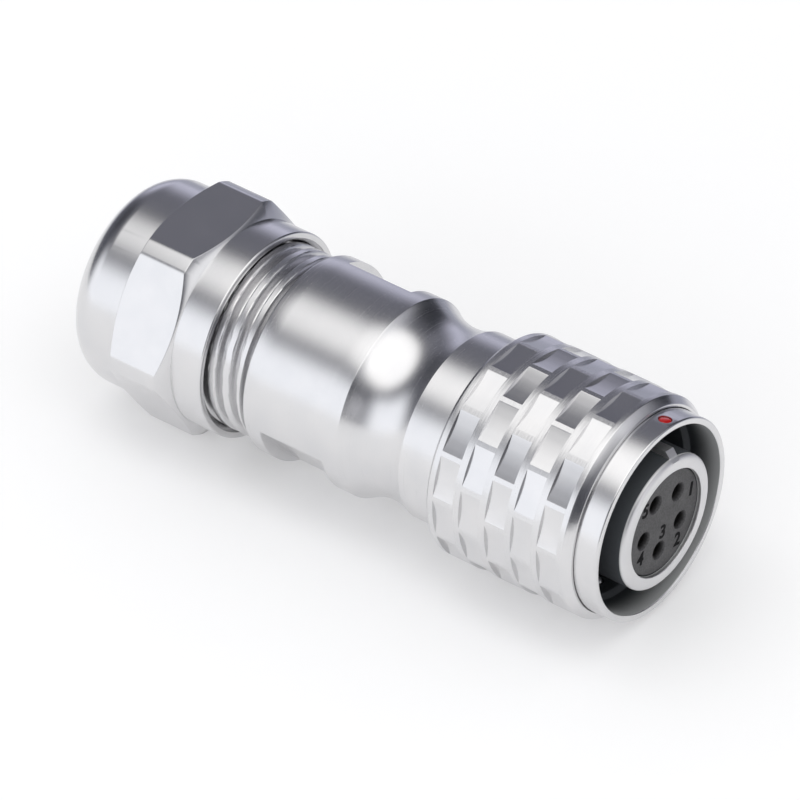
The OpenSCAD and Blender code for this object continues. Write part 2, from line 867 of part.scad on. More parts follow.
front_shell();
neck_body();
index_dot();
contact_shell();
front_insulator();
rear_insulator();
socket_contact(1);  // socket_contact_1
socket_contact(2);  // socket_contact_2
socket_contact(3);  // socket_contact_3
socket_contact(4);  // socket_contact_4
socket_contact(5);  // socket_contact_5
insert_nut();
interface_seal();
release_sleeve();
release_spring();
latch_ball(1);  // latch_ball_1
latch_ball(2);  // latch_ball_2
latch_ball(3);  // latch_ball_3
body_seal();
back_shell();
cable_seal();
clamp_collet();
gland_nut();
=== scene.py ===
"""Looks of a five-way circular sensor connector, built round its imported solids."""
from contextlib import contextmanager
from math import acos, asin, atan, atan2, cos, pi, radians, sin, sqrt, tan

import bmesh
import bpy
import numpy as np
from bpy.props import FloatProperty, FloatVectorProperty, IntProperty, PointerProperty
from bpy.types import Operator, Panel, PropertyGroup
from mathutils import Matrix, Vector


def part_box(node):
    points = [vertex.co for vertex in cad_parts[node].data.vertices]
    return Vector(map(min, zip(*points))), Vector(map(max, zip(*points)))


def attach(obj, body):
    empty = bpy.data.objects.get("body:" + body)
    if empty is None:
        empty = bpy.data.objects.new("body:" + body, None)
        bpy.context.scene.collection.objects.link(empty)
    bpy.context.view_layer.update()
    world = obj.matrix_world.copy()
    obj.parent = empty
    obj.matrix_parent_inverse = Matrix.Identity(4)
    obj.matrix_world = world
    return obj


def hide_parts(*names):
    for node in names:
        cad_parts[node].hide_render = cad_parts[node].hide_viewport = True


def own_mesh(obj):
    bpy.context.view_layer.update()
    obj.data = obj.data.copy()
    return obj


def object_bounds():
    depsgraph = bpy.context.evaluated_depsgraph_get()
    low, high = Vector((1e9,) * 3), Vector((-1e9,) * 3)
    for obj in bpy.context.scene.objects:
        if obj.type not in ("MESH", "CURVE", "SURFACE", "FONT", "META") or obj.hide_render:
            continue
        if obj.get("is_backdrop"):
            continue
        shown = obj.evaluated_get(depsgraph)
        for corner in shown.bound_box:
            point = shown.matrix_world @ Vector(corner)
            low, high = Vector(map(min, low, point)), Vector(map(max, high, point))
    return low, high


bl_info = {
    "name": "Circular sensor connector",
    "version": (1, 0, 0),
    "blender": (4, 5, 0),
    "location": "View3D > Sidebar > Connector",
    "description": "Builds the shells, the grip sleeve, the gland and the insert of a cable plug",
    "category": "Add Mesh",
}

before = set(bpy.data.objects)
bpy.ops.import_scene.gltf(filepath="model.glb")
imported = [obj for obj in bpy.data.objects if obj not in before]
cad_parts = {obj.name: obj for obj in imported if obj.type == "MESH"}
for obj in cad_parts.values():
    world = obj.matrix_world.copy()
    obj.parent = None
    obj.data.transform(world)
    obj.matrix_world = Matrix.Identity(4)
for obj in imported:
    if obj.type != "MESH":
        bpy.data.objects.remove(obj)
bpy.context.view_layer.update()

MM = 0.001
TINY = 1e-6
TURN = 2 * pi
JOIN_DISTANCE = 1e-7  # metres
SHARP_EDGE = radians(34)
X, Y, Z = range(3)

# Counts of like pieces, of the points round a piece and of the steps along its curves
CONTACTS, BALLS, FINGERS, HEX_SIDES = 5, 3, 6, 6
SHELL_SIDES, NECK_SIDES, BARREL_SIDES, NUT_SIDES, TUBE_SIDES = 256, 160, 240, 288, 192
GLAND_SIDES, INSULATOR_SIDES, HOLE_SIDES, DOT_SIDES, BALL_SIDES = 128, 128, 40, 48, 32
COIL_STEPS, COIL_SIDES = 60, 12  # along a turn of the wire, and round it
WAIST_STEPS, DOME_STEPS, RIM_STEPS, THREAD_RINGS = 40, 24, 6, 150

# Small shapes, in millimetres unless the comment says otherwise
ROUNDING_SHARE = 0.45  # most of a side that a rounding takes
BALL_PLAY = 0.08  # round a ball in its hole
BALL_HOLE = (7.0, 9.0)  # from and to these distances from the axis
# The dot's dome: shares of its radius, and heights over the floor of its recess
DOT_DOME = ((0.97, 0.0), (0.97, 0.06), (0.9, 0.13), (0.72, 0.185), (0.45, 0.215), (0.18, 0.225))
BESIDE_EDGE = 0.055  # radians between a flat's edge and the extra points beside it
GRIP_MARGIN = 0.05  # past the ends of the grip, where edges are still made sharp
GRIP_CREASE = radians(6.5)
WRENCH_WALL = 0.03  # length of the slope at a wrench flat's ends
WRENCH_NEAR = 0.02  # most distance of a face from a wrench flat that it lies on
THREAD_CREST, THREAD_FLANK = 0.34, 0.56  # shares of half a pitch
THREAD_FADE = (0.25, 0.5)  # at the shoulder and at the rear end
HEX_SOFT = 0.035  # of the edges between the hexagon and its chamfers
CONE_ROOM = (0.3, 0.15)  # along the axis and across it
HOLE_LEAN = 3.0  # lean of the line that slants the edge of the cable's hole
WAY_EDGE = 1.01  # the key's way has steep walls within this share of its half width
KEY_EDGE = 0.9  # share of the key's half width that has points of its own
INSULATOR_EDGE = 0.08  # chamfer of the face
INSULATOR_FLANGE = 1.0  # length of the rear flange
HOLE_FLOOR = -6.0  # place along X where the insulator's holes end
FONT_SCALE = 1.4  # size of the letters for each unit of a digit's height
COIL_GAP = 0.03  # beside the closed turns at the spring's ends
SEAL_ROUND = 0.4
SLOT_BAR = (6.0, 16.0)  # length and height of the bar that cuts two slots

# Dull plate with painted shade: where it starts behind the opening, or before the rim's end, and its
# reach from there to the full painted shade
SOCKET_SHADE = (-0.06, 2.6)
FLANK_SHADE = (0.1, 0.14)

# The moulded numbers: degrees from the key, distance from the axis and extra weight in millimetres
NUMBERS = (
    (-65.0, 3.75, 0.07),
    (-136.0, 3.6, 0.045),
    (-171.0, 1.0, 0.045),
    (134.0, 3.5, 0.045),
    (55.0, 3.45, 0.045),
)

# Panels of the studio that the metal mirrors: the azimuth from -Y towards +X and the elevation of
# the middle, half the width and height, the soft edges of both, all in degrees, and the brightness
STUDIO_WALL = (0.11, 0.112, 0.135)
STUDIO_PANELS = {
    "side_softbox": ((-33.5, 10), (31, 25), (15, 11), (1.15, 1.17, 1.20)),
    "lilac_wall": ((-142, -6), (16, 22), (8, 14), (0.64, 0.64, 0.77)),
    "far_glow": ((138, 41), (26, 18), (14, 14), (0.38, 0.38, 0.40)),
    "front_glow": ((86, 48), (50, 10), (22, 8), (0.50, 0.50, 0.50)),
    "back_glow": ((-138, 38), (16, 12), (8, 8), (0.06, 0.06, 0.07)),
    "front_wall": ((98, 13), (24, 14), (10, 8), (1.10, 1.10, 1.10)),
    "near_glow": ((22, 15), (14, 11), (6, 5), (0.45, 0.45, 0.46)),
    "dark_back": ((-103, 29), (13, 10), (8, 8), (-0.05, -0.05, -0.06)),
    "dark_corner": ((184, 14), (20, 24), (7, 12), (-0.08, -0.08, -0.095)),
    "dark_front": ((44, 18), (14, 16), (8, 10), (-0.05, -0.05, -0.06)),
}
# The round softbox above: its middle, its radius and its soft edge in degrees, and the brightness
TOP_SOFTBOX = ((5, 82.5), 35.5, 8, (1.40, 1.39, 1.36))
# Lamps: the turn about the part's axis in degrees, the length and width in metres, the brightness
LAMPS = {"softbox_over": (6.0, 0.9, 0.26, 1.05), "softbox_side": (67.0, 0.9, 0.26, 1.1)}
LAMP_REACH = 0.7  # share of the studio's radius
DOME_SKIRT = 0.1  # share of the studio's radius that its dome goes below the part
FLOOR_HALF = 1.5
FLOOR_LIFT = 0.2
# The card beyond the part, in metres: half its length, its near and far edges, the end of its soft
# near edge and its height over the floor
FAR_CARD = (0.40, 0.41, 0.49)
CARD_PLACE = (0.8, 0.02, 1.3, 0.07, 0.0005)


# Places and radii that the solids give, in millimetres


def low(node, axis):
    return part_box(node)[0][axis] / MM


def high(node, axis):
    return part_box(node)[1][axis] / MM


def ends(node):
    """The front and rear ends along the axis."""
    return high(node, X), low(node, X)


# Properties that a user would change


def named(group):
    """Names each property of a group after its attribute."""
    for attribute, kept in group.__annotations__.items():
        kept.keywords["name"] = attribute.replace("_", " ").capitalize()
    return group


def length(text, millimetres):
    """A size property with its default in millimetres."""
    return FloatProperty(description=text, default=millimetres * MM, unit="LENGTH", precision=5)


def angle(text, degrees):
    """An angle property with its default in degrees."""
    return FloatProperty(description=text, default=radians(degrees), subtype="ANGLE")


def share(text, value, most=1.0):
    """A plain factor."""
    return FloatProperty(description=text, default=value, min=0.0, max=most)


def colour(text, value):
    """A linear colour."""
    return FloatVectorProperty(
        description=text, default=value, size=3, min=0.0, max=1.0, subtype="COLOR"
    )


@named
class ShellSizes(PropertyGroup):
    """Sizes of the front shell and its index dot"""

    mouth_radius: length("Radius of the socket's opening", 8.0)
    mouth_depth: length("Depth of the wide mouth", 2.9)
    socket_radius: length("Radius of the socket behind the mouth", 7.6)
    socket_depth: length("Depth of the socket's floor", 6.9)
    stop_rear: length("Depth of the stop ring's back face", 8.4)
    stop_radius: length("Bore of the stop ring", 5.85)
    bore_radius: length("Radius of the bore that holds the insert", 6.4)
    register_height: length("Height of the register behind the socket", 0.4)
    fit_gap: length("Gap between pieces that are fitted together", 0.05)
    ring_length: length("Length of the full front ring", 2.6)
    guide_radius: length("Radius of the stretch that guides the sleeve", 8.42)
    guide_rear: length("Depth of the guide's rear shoulder", 7.6)
    neck_radius: length("Radius of the neck inside the spring", 7.5)
    neck_rear: length("Depth of the neck's rear shoulder", 13.5)
    spigot_radius: length("Radius of the rear spigot", 7.0)
    key_turn: angle("Angle of the key and the dot from the top", -13.6)
    dot_diameter: length("Diameter of the enamel dot", 1.15)
    dot_back: length("Distance of the dot behind the opening", 0.98)
    dot_depth: length("Depth of the dot's recess", 0.25)


@named
class GripSizes(PropertyGroup):
    """Sizes of the release sleeve and its grip"""

    columns: IntProperty(description="Columns of flats", default=5, min=1)
    flats: IntProperty(description="Flats round the sleeve", default=15, min=6)
    depth: length("Depth of a flat at its middle", 0.165)
    land: length("Plain land between two columns", 0.61)
    front_land: length("Distance from the front end to the first column", 1.13)
    rear_land: length("Distance from the last column to the rear end", 0.78)
    hollow: length("Extra depth of a flat's middle, from hollow grinding", 0.06)
    wall_slope: length("Length of the sloping wall at a flat's ends", 0.005)
    lip_radius: length("Bore of the front lip", 8.64)
    lip_length: length("Length of the front lip", 0.45)
    relief_radius: length("Bore of the relief that the balls rise into", 8.8775)
    ramp_front: length("Distance of the ramp's wide end behind the opening", 2.9)
    ramp_rear: length("Distance of the ramp's narrow end behind the opening", 5.17)
    land_radius: length("Bore over the guide", 8.48)
    rib_radius: length("Bore of the rib that the spring pushes on", 7.56)
    rib_front: length("Distance of the rib's front face behind the opening", 7.65)
    rib_rear: length("Distance of the rib's rear face behind the opening", 8.4)
    bore_radius: length("Bore over the spring", 8.07)
    front_face: length("Width of the front face", 0.25)
    bevel: length("Length of the front bevel", 0.66)
    rear_chamfer: length("Chamfer at the rear end", 0.3)


@named
class BackShellSizes(PropertyGroup):
    """Sizes of the back shell, its wrench flats and its gland thread"""

    band_radius: length("Radius of the band behind the sleeve", 7.97)
    band_rear: length("Distance of the band's end behind the opening", 19.35)
    waist_radius: length("Smallest radius of the waist", 7.456)
    waist_round: length("Radius of the waist's hollow", 5.8)
    shoulder: length("Distance of the barrel's rear shoulder behind the opening", 34.342)
    flat_depth: length("Depth of the wrench flats", 0.98)
    flat_inset: length("Plain barrel at each end of the flats", 1.55)
    flat_turn: angle("Angle of the first wrench flat", 127.7)
    barrel_length: length("Length of the barrel", 9.3)
    thread_radius: length("Crest radius of the gland thread", 7.9)
    thread_pitch: length("Pitch of the gland thread", 1.41)
    thread_depth: length("Depth of the gland thread", 0.75)
    groove: length("Length of the relief groove at the shoulder", 0.5)
    nose_bore: length("Bore over the front shell's spigot", 7.05)
    cavity_radius: length("Radius of the wire cavity", 6.0)
    gland_radius: length("Radius of the seal's chamber", 6.3)
    throat_radius: length("Radius of the throat before the seal", 5.0)
    throat_front: length("Distance of the throat behind the opening", 34.49)
    seat: length("Distance of the seal's seat behind the opening", 35.99)
    cavity_front: length("Distance of the wire cavity behind the opening", 19.73)
    crest: length("Distance of a thread crest behind the opening, at the crest's angle", 35.3)
    crest_turn: angle("Angle at which that distance holds", 42.65)


@named
class NutSizes(PropertyGroup):
    """Sizes of the gland nut"""

    collar_radius: length("Radius of the plain collar", 8.83)
    collar_length: length("Length of the plain collar", 2.93)
    hex_length: length("Length of the hexagon with its chamfers", 5.81)
    hex_chamfer: length("Length of one chamfer", 0.71)
    dome_radius: length("Radius of the domed end", 8.79)
    dome_round: length("Radius of the dome's edge", 2.6)
    bore_radius: length("Radius of the threaded bore", 7.96)
    mouth_chamfer: length("Chamfer at the bore's mouth", 0.35)
    floor_inset: length("Distance of the inner floor in front of the hexagon's back", 0.74)
    hole_radius: length("Radius of the cable's hole", 4.35)


@named
class InsertSizes(PropertyGroup):
    """Sizes of the contact shell and the numbered insulator"""

    tube_radius: length("Outer radius of the tube", 5.75)
    tube_bore: length("Bore of the tube", 4.6)
    flange_front: length("Distance of the tube's flange behind the opening", 8.45)
    pocket_front: length("Distance of the insulators' pocket behind the opening", 6.15)
    pocket_radius: length("Radius of the pocket for the insulators' flange", 5.05)
    lead_in_height: length("Height of the tube's rounded outer edge", 0.6)
    rim_round: length("Length of the rim's rounded outer edge", 0.36)
    key_width: length("Width of the key rib", 1.05)
    key_top: length("Height of the rib's top above the axis", 6.25)
    key_room: length("Gap round the rib in the socket's floor", 0.1)
    insulator_radius: length("Radius of the insulator's face", 4.55)
    contact_circle: length("Radius of the circle of contacts", 2.57)
    hole_radius: length("Radius of a contact's hole", 0.62)
    hole_lead_in: length("Chamfer at a hole's mouth", 0.21)
    pin_radius: length("Radius of the pin's hole in a contact", 0.5)
    digit_height: length("Height of the moulded numbers", 1.18)
    digit_depth: length("Thickness of the moulded numbers", 0.04)


@named
class GlandSizes(PropertyGroup):
    """Sizes of the spring, the cable seal and the collet"""

    spring_wire: length("Wire diameter of the release spring", 0.4)
    spring_turns: IntProperty(description="Turns of the release spring", default=6, min=3)
    cable_radius: length("Bore of the cable seal", 3.25)
    collet_bore: length("Bore of the clamp collet", 3.6)
    finger_tip: length("Outer radius of the fingers' tips", 4.6)
    finger_root: length("Outer radius of the fingers' roots", 6.6)
    finger_gap: length("Width of the slots between the fingers", 0.8)
    finger_length: length("Length of the fingers", 4.7)
    spigot_radius: length("Radius of the collet's front spigot", 6.15)
    flange_length: length("Length of the collet's flange", 1.0)
    slot_root: length("Distance of the slots' roots behind the flange", 0.2)


@named
class FinishSettings(PropertyGroup):
    """Colours and finishes"""

    nickel: colour("Satin nickel plate", (0.71, 0.705, 0.71))
    nickel_dark: colour("Cloudier patches of the plate", (0.67, 0.67, 0.68))
    nickel_roughness: share("Mean roughness of the plate", 0.22)
    # Inside the socket the plate goes from the mouth's colour to the deep colour, which is painted shade
    socket: colour("Dull plate inside the socket's mouth", (0.55, 0.56, 0.565))
    socket_deep: colour("Dull plate deep in the socket", (0.058, 0.064, 0.072))
    insulator: colour("Moulded insulator", (0.058, 0.057, 0.06))
    digit: colour("Moulded numbers", (0.006, 0.006, 0.007))
    gold: colour("Plate of the contacts", (0.83, 0.6, 0.22))
    rubber: colour("Seals", (0.022, 0.023, 0.024))
    polyamide: colour("Clamp collet", (0.018, 0.018, 0.02))
    enamel: colour("Index dot", (0.52, 0.009, 0.007))
    steel: colour("Spring wire and balls", (0.62, 0.62, 0.64))


@named
class StageSettings(PropertyGroup):
    """Camera, floor and light"""

    camera_place: FloatVectorProperty(
        description="Place of the camera", subtype="TRANSLATION",
        default=(0.27310, -0.37549, 0.40375), precision=5,
    )
    camera_azimuth: angle("Angle of the camera round the part", 38.47)
    camera_elevation: angle("Angle of the camera above the floor", 40.11)
    camera_roll: angle("Roll of the camera about its own axis", -1.86)
    camera_lens: FloatProperty(description="Focal length in millimetres", default=358.9)
    floor: colour("Floor colour", (0.86, 0.86, 0.87))
    sky: share("Strength of the white surround", 0.75, 5.0)
    studio_radius: length("Radius of the studio round the part", 900.0)


GROUPS = {
    "connector_shell": ShellSizes,
    "connector_grip": GripSizes,
    "connector_back": BackShellSizes,
    "connector_nut": NutSizes,
    "connector_insert": InsertSizes,
    "connector_gland": GlandSizes,
    "connector_finish": FinishSettings,
    "connector_stage": StageSettings,
}


class Millimetres:
    """Reads a group's lengths in millimetres and its other values as they are."""

    def __init__(self, group):
        self._group = group

    def __getattr__(self, name):
        value = getattr(self._group, name)
        kind = self._group.bl_rna.properties[name]
        return value / MM if getattr(kind, "unit", "NONE") == "LENGTH" else value


def sizes(group):
    return Millimetres(getattr(bpy.context.scene, group))


# Outlines and meshes


def rounded(outline, steps=3):
    """A closed outline of (x, r) or (x, r, rounding) points, with its corners rounded."""
    done = []
    for i, (x, r, *rounding) in enumerate(outline):
        here = np.array((x, r), float)
        if not rounding:
            done.append(tuple(here))
            continue
        sides = [np.array(outline[k % len(outline)][:2], float) - here for k in (i - 1, i + 1)]
        reaches = [np.linalg.norm(side) for side in sides]
        before, after = (side / reach for side, reach in zip(sides, reaches))
        half = acos(max(-1.0, min(1.0, before @ after))) / 2
        reach = min(rounding[0] / tan(half), ROUNDING_SHARE * min(reaches))
        start, end = here + before * reach, here + after * reach
        for k in range(steps + 1):
            s = k / steps
            done.append(tuple((1 - s) ** 2 * start + 2 * s * (1 - s) * here + s ** 2 * end))
    return done


def arc(middle, reach, angles):
    """Outline points on an arc round a middle, with its reach along X and across it."""
    return [(middle[0] + reach[0] * sin(a), middle[1] + reach[1] * cos(a)) for a in angles]


def with_loops(outline, extra, belongs):
    """An outline with extra loops behind the last of its points that passes a test."""
    last = max(i for i, (x, r) in enumerate(outline) if belongs(x, r))
    return outline[:last + 1] + extra + outline[last + 1:]


def even_angles(count, extra=()):
    """Angles round the axis, evenly spaced, with the extra ones where edges lie."""
    step = TURN / count
    edges = np.array(sorted({round(a % TURN, 6) for a in extra}))
    even = step * np.arange(count)
    if len(edges):
        even = even[np.abs(from_centre(even[:, None], edges, TURN)).min(1) > step / 3]
    return np.sort(np.concatenate([edges, even]))


def from_centre(angles, centre, pitch):
    """Each angle's distance from the nearest of the centres that repeat at a pitch."""
    return (angles - centre + pitch / 2) % pitch - pitch / 2


def both_sides(centre, *halves):
    """Angles at the same distances to both sides of a centre."""
    return [centre + side * half for side in (-1, 1) for half in halves]


def new_object(name, data):
    piece = bpy.data.objects.new(name, data)
    bpy.context.scene.collection.objects.link(piece)
    return piece


@contextmanager
def opened(mesh):
    """Opens a mesh for editing and writes it back."""
    work = bmesh.new()
    work.from_mesh(mesh)
    yield work
    work.to_mesh(mesh)
    work.free()


def tidy_mesh(mesh):
    """Joins coincident points, drops empty faces and turns the faces outwards."""
    with opened(mesh) as work:
        bmesh.ops.remove_doubles(work, verts=work.verts, dist=JOIN_DISTANCE)
        bmesh.ops.dissolve_degenerate(work, edges=work.edges, dist=JOIN_DISTANCE)
        bmesh.ops.recalc_face_normals(work, faces=work.faces)


def bands(rows, count, closed=True):
    """The faces between rows that are rings of a count of points each."""
    faces = []
    for i in range(rows if closed else rows - 1):
        here, there = i * count, (i + 1) % rows * count
        for j in range(count):
            k = (j + 1) % count
            faces.append((here + j, there + j, there + k, here + k))
    return faces


def lathe(name, angles, loops, flat_band=None):
    """A piece of loops round the X axis. A loop is (x, r) in millimetres, each a number or a value
    for each angle. The faces behind one of the loops can be shaded flat."""
    points = np.concatenate([
        np.column_stack(np.broadcast_arrays(x, -r * np.sin(angles), r * np.cos(angles)))
        for x, r in loops
    ])
    mesh = bpy.data.meshes.new(name)
    mesh.from_pydata((points * MM).tolist(), [], bands(len(loops), len(angles)))
    smooth = np.arange(len(loops)) != (-1 if flat_band is None else flat_band)
    mesh.polygons.foreach_set("use_smooth", np.repeat(smooth, len(angles)).tolist())
    tidy_mesh(mesh)
    mesh.set_sharp_from_angle(angle=SHARP_EDGE)
    return new_object(name, mesh)


def harden(mesh, span, least):
    """Marks the edges of a span along X as sharp where their faces meet at a larger angle."""
    with opened(mesh) as work:
        for edge in work.edges:
            x = (edge.verts[0].co.x + edge.verts[1].co.x) / 2 / MM
            if span[1] <= x <= span[0] and edge.is_manifold and edge.calc_face_angle() > least:
                edge.smooth = False


def weigh_normals(piece):
    """Keeps large faces evenly lit beside small rounded edges."""
    change = piece.modifiers.new("even_faces", "WEIGHTED_NORMAL")
    change.keep_sharp = True
    change.weight = 80
    return piece


def finish_piece(piece, body, node, material):
    """Hands a piece to its body in place of a solid, with its finish."""
    piece.data.materials.clear()
    piece.data.materials.append(material)
    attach(piece, body)
    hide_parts(node)


def evaluated_mesh(piece):
    """A new mesh of a piece with its modifiers, or of its letters."""
    bpy.context.view_layer.update()
    depsgraph = bpy.context.evaluated_depsgraph_get()
    return bpy.data.meshes.new_from_object(piece.evaluated_get(depsgraph))


def cut(piece, cutters):
    """Cuts meshes out of a piece and removes them."""
    for cutter in cutters:
        change = piece.modifiers.new("cut", "BOOLEAN")
        change.operation = "DIFFERENCE"
        change.solver = "EXACT"
        change.object = cutter
    old = [piece.data, *(cutter.data for cutter in cutters)]
    piece.data = evaluated_mesh(piece)
    piece.modifiers.clear()
    piece.data.set_sharp_from_angle(angle=SHARP_EDGE)
    for cutter in cutters:
        bpy.data.objects.remove(cutter)
    for mesh in old:
        bpy.data.meshes.remove(mesh)
    piece.data.name = piece.name
    return piece


def add_ring(work, radius, sides, place):
    """New points round a circle. The place takes their two parts to a point in millimetres."""
    ring = []
    for k in range(sides):
        a = TURN * k / sides
        point = place(radius * cos(a), radius * sin(a))
        ring.append(work.verts.new([part * MM for part in point]))
    return ring


def join_rings(work, *rings):
    """Smooth faces between rings of the same count."""
    for first, second in zip(rings, rings[1:]):
        for k in range(len(first)):
            n = (k + 1) % len(first)
            work.faces.new((first[k], first[n], second[n], second[k])).smooth = True


def rod(name, shape, sides=DOT_SIDES):
    """A solid round bar along Z from (radius, height) pairs in millimetres."""
    mesh = bpy.data.meshes.new(name)
    with opened(mesh) as work:
        rings = [add_ring(work, r, sides, lambda c, s: (c, s, h)) for r, h in shape]
        join_rings(work, *rings)
        work.faces.new(rings[0][::-1])
        work.faces.new(rings[-1])
    return new_object(name, mesh)


def radial(turn, x):
    """Takes the Z axis to a radius of the part at an angle and a place along the axis."""
    return Matrix.Rotation(turn, 4, "X") @ Matrix.Translation((x * MM, 0.0, 0.0))


def direction(azimuth, elevation):
    """A direction from angles: the azimuth from -Y towards +X, and the elevation."""
    flat = cos(elevation)
    return Vector((sin(azimuth) * flat, -cos(azimuth) * flat, sin(elevation)))


# Finishes


class Nodes:
    """A short way to make and link the nodes of one material or world."""

    def __init__(self, name="", world=None):
        self.owner = world or bpy.data.materials.new(name)
        self.owner.use_nodes = True
        self.tree = self.owner.node_tree
        self.tree.nodes.clear()
        kind = "ShaderNodeOutputWorld" if world else "ShaderNodeOutputMaterial"
        self.output = self.tree.nodes.new(kind)

    def add(self, kind, inputs=None, **values):
        node = self.tree.nodes.new(kind)
        for key, value in values.items():
            setattr(node, key, value)
        for key, value in (inputs or {}).items():
            if hasattr(value, "is_output"):
                self.tree.links.new(value, node.inputs[key])
            else:
                node.inputs[key].default_value = value
        return node

    def math(self, operation, *values):
        return self.add("ShaderNodeMath", dict(enumerate(values)), operation=operation).outputs[0]

    def vector(self, operation, *values):
        node = self.add("ShaderNodeVectorMath", dict(enumerate(values)), operation=operation)
        return node.outputs["Value" if operation in ("LENGTH", "DOT_PRODUCT") else "Vector"]

    def part(self, vector, axis):
        return self.add("ShaderNodeSeparateXYZ", {"Vector": vector}).outputs[axis]

    def noise(self, place, scale, detail=2.0):
        inputs = {"Vector": place, "Scale": scale, "Detail": detail}
        return self.add("ShaderNodeTexNoise", inputs).outputs[0]

    def ramp(self, value, start, end, lowest=0.0, highest=1.0, kind="LINEAR"):
        """A value that goes from lowest at a start to highest at an end, and stays there."""
        inputs = {
            "Value": value, "From Min": start, "From Max": end, "To Min": lowest, "To Max": highest
        }
        return self.add("ShaderNodeMapRange", inputs, interpolation_type=kind).outputs["Result"]

    def soft(self, value, start, end):
        return self.ramp(value, start, end, kind="SMOOTHSTEP")

    def spread(self, noise, lowest=0.0, highest=1.0):
        """A noise value spread between two numbers."""
        return self.ramp(noise, 0.3, 0.7, lowest, highest)

    def mix(self, factor, first, second):
        """A colour between two."""
        inputs = {"Factor": factor, 6: rgba(first), 7: rgba(second)}
        return self.add("ShaderNodeMix", inputs, data_type="RGBA").outputs[2]

    def place(self):
        """The place on the part, in millimetres."""
        place = self.add("ShaderNodeTexCoord").outputs["Object"]
        return self.vector("MULTIPLY", place, (1 / MM, 1 / MM, 1 / MM))

    def from_axis(self, place):
        return self.vector("LENGTH", self.vector("MULTIPLY", place, (0.0, 1.0, 1.0)))

    def bump(self, height, strength, distance):
        inputs = {"Strength": strength, "Distance": distance, "Height": height}
        return self.add("ShaderNodeBump", inputs).outputs[0]

    def glow(self, tone, strength=1.0):
        inputs = {"Color": rgba(tone), "Strength": strength}
        return self.add("ShaderNodeEmission", inputs).outputs[0]

    def shader(self, tone, roughness, **more):
        inputs = {"Base Color": tone, "Roughness": roughness}
        inputs.update({name.replace("_", " "): value for name, value in more.items()})
        return self.add("ShaderNodeBsdfPrincipled", inputs).outputs[0]

    def seen_directly(self):
        """1 where the camera, a mirror or glass looks at the surface, and 0 for scattered light."""
        path = self.add("ShaderNodeLightPath").outputs
        seen = self.math("MAXIMUM", path["Is Camera Ray"], path["Is Glossy Ray"])
        return self.math("MAXIMUM", seen, path["Is Transmission Ray"])

    def surface(self, socket):
        self.tree.links.new(socket, self.output.inputs["Surface"])
        return self.owner


def rgba(value):
    """A colour for a socket, or the link that gives one."""
    return value if hasattr(value, "is_output") else (*value, 1.0)


def times(base, factor):
    return [part * factor for part in base]


def satin_nickel(name, roughness_shift=0.0, turning=0.2, inside=None, lands=None):
    """Satin nickel plate with faint turning marks, cloudy patches and fine grain. It is dulled inside
    a radius and behind a start along X, with painted shade that darkens it over a reach from there,
    and scored on lands at a radius."""
    look = bpy.context.scene.connector_finish
    nodes = Nodes(name)
    place = nodes.place()
    along = nodes.part(place, "X")
    marks = nodes.add(
        "ShaderNodeTexNoise", {"W": along, "Scale": 9.0, "Detail": 4.0, "Roughness": 0.65},
        noise_dimensions="1D",
    ).outputs[0]
    grain = nodes.noise(place, 14.0)
    clouds = nodes.noise(place, 0.35, 3.0)
    tone = nodes.mix(nodes.spread(clouds), look.nickel, look.nickel_dark)
    mean = look.nickel_roughness + roughness_shift
    uneven = nodes.math("MULTIPLY", nodes.math("ADD", grain, marks), 0.5)
    roughness = nodes.spread(uneven, mean - 0.035, mean + 0.045)
    metal = 1.0
    if inside:
        radius, start, reach = inside
        within = nodes.ramp(nodes.from_axis(place), radius + 0.06, radius + 0.01)
        # This mask marks the dulled plate and the painted shade in the socket
        dull_shaded = nodes.math("MULTIPLY", within, nodes.ramp(along, start, start - 0.08))
        # Painted shade: from the start, the tone darkens towards the deep colour over the reach
        deep = nodes.soft(along, start - 0.1, start - reach)
        tone = nodes.mix(dull_shaded, tone, nodes.mix(deep, look.socket, look.socket_deep))
        roughness = nodes.math("ADD", roughness, nodes.math("MULTIPLY", dull_shaded, 0.3))
        metal = nodes.math("SUBTRACT", 1.0, nodes.math("MULTIPLY", dull_shaded, 0.75))
    height = nodes.math("MULTIPLY", marks, turning)
    if lands:
        land = nodes.ramp(nodes.from_axis(place), lands - 0.02, lands - 0.01)
        scores = nodes.noise(nodes.vector("MULTIPLY", place, (5.0, 0.4, 0.4)), 1.0, 3.0)
        scored = nodes.math("MULTIPLY", nodes.math("MULTIPLY", land, scores), 20.0)
        roughness = nodes.math("ADD", roughness, nodes.math("MULTIPLY", land, 0.05))
        height = nodes.math("ADD", height, scored)
    bump = nodes.bump(height, 0.05, 0.00001)
    return nodes.surface(nodes.shader(tone, roughness, Metallic=metal, Normal=bump))


def moulded(name, base, roughness, grain, contrast=0.2, shaded_below=None, shine=0.5):
    """A moulded plastic or rubber with uneven gloss and a grain, given by its size and height in
    millimetres. Below a place along X it has painted shade, fading almost to black down its holes."""
    nodes = Nodes(name)
    place = nodes.place()
    grain_size, grain_height = grain
    grain = nodes.noise(place, 1 / grain_size, 4.0)
    tone = nodes.mix(nodes.spread(grain), times(base, 1 - contrast), times(base, 1 + contrast))
    if shaded_below is not None:
        # Painted shade: the tone fades almost to black over 0.4 mm below that place
        lit = nodes.ramp(nodes.part(place, "X"), shaded_below - 0.4, shaded_below, 0.06)
        tone = nodes.mix(lit, (0.0, 0.0, 0.0), tone)
    bump = nodes.bump(grain, 0.4, grain_height * MM)
    gloss = nodes.spread(nodes.noise(place, 0.8), roughness - 0.06, roughness + 0.06)
    return nodes.surface(nodes.shader(tone, gloss, Specular_IOR_Level=shine, Normal=bump))


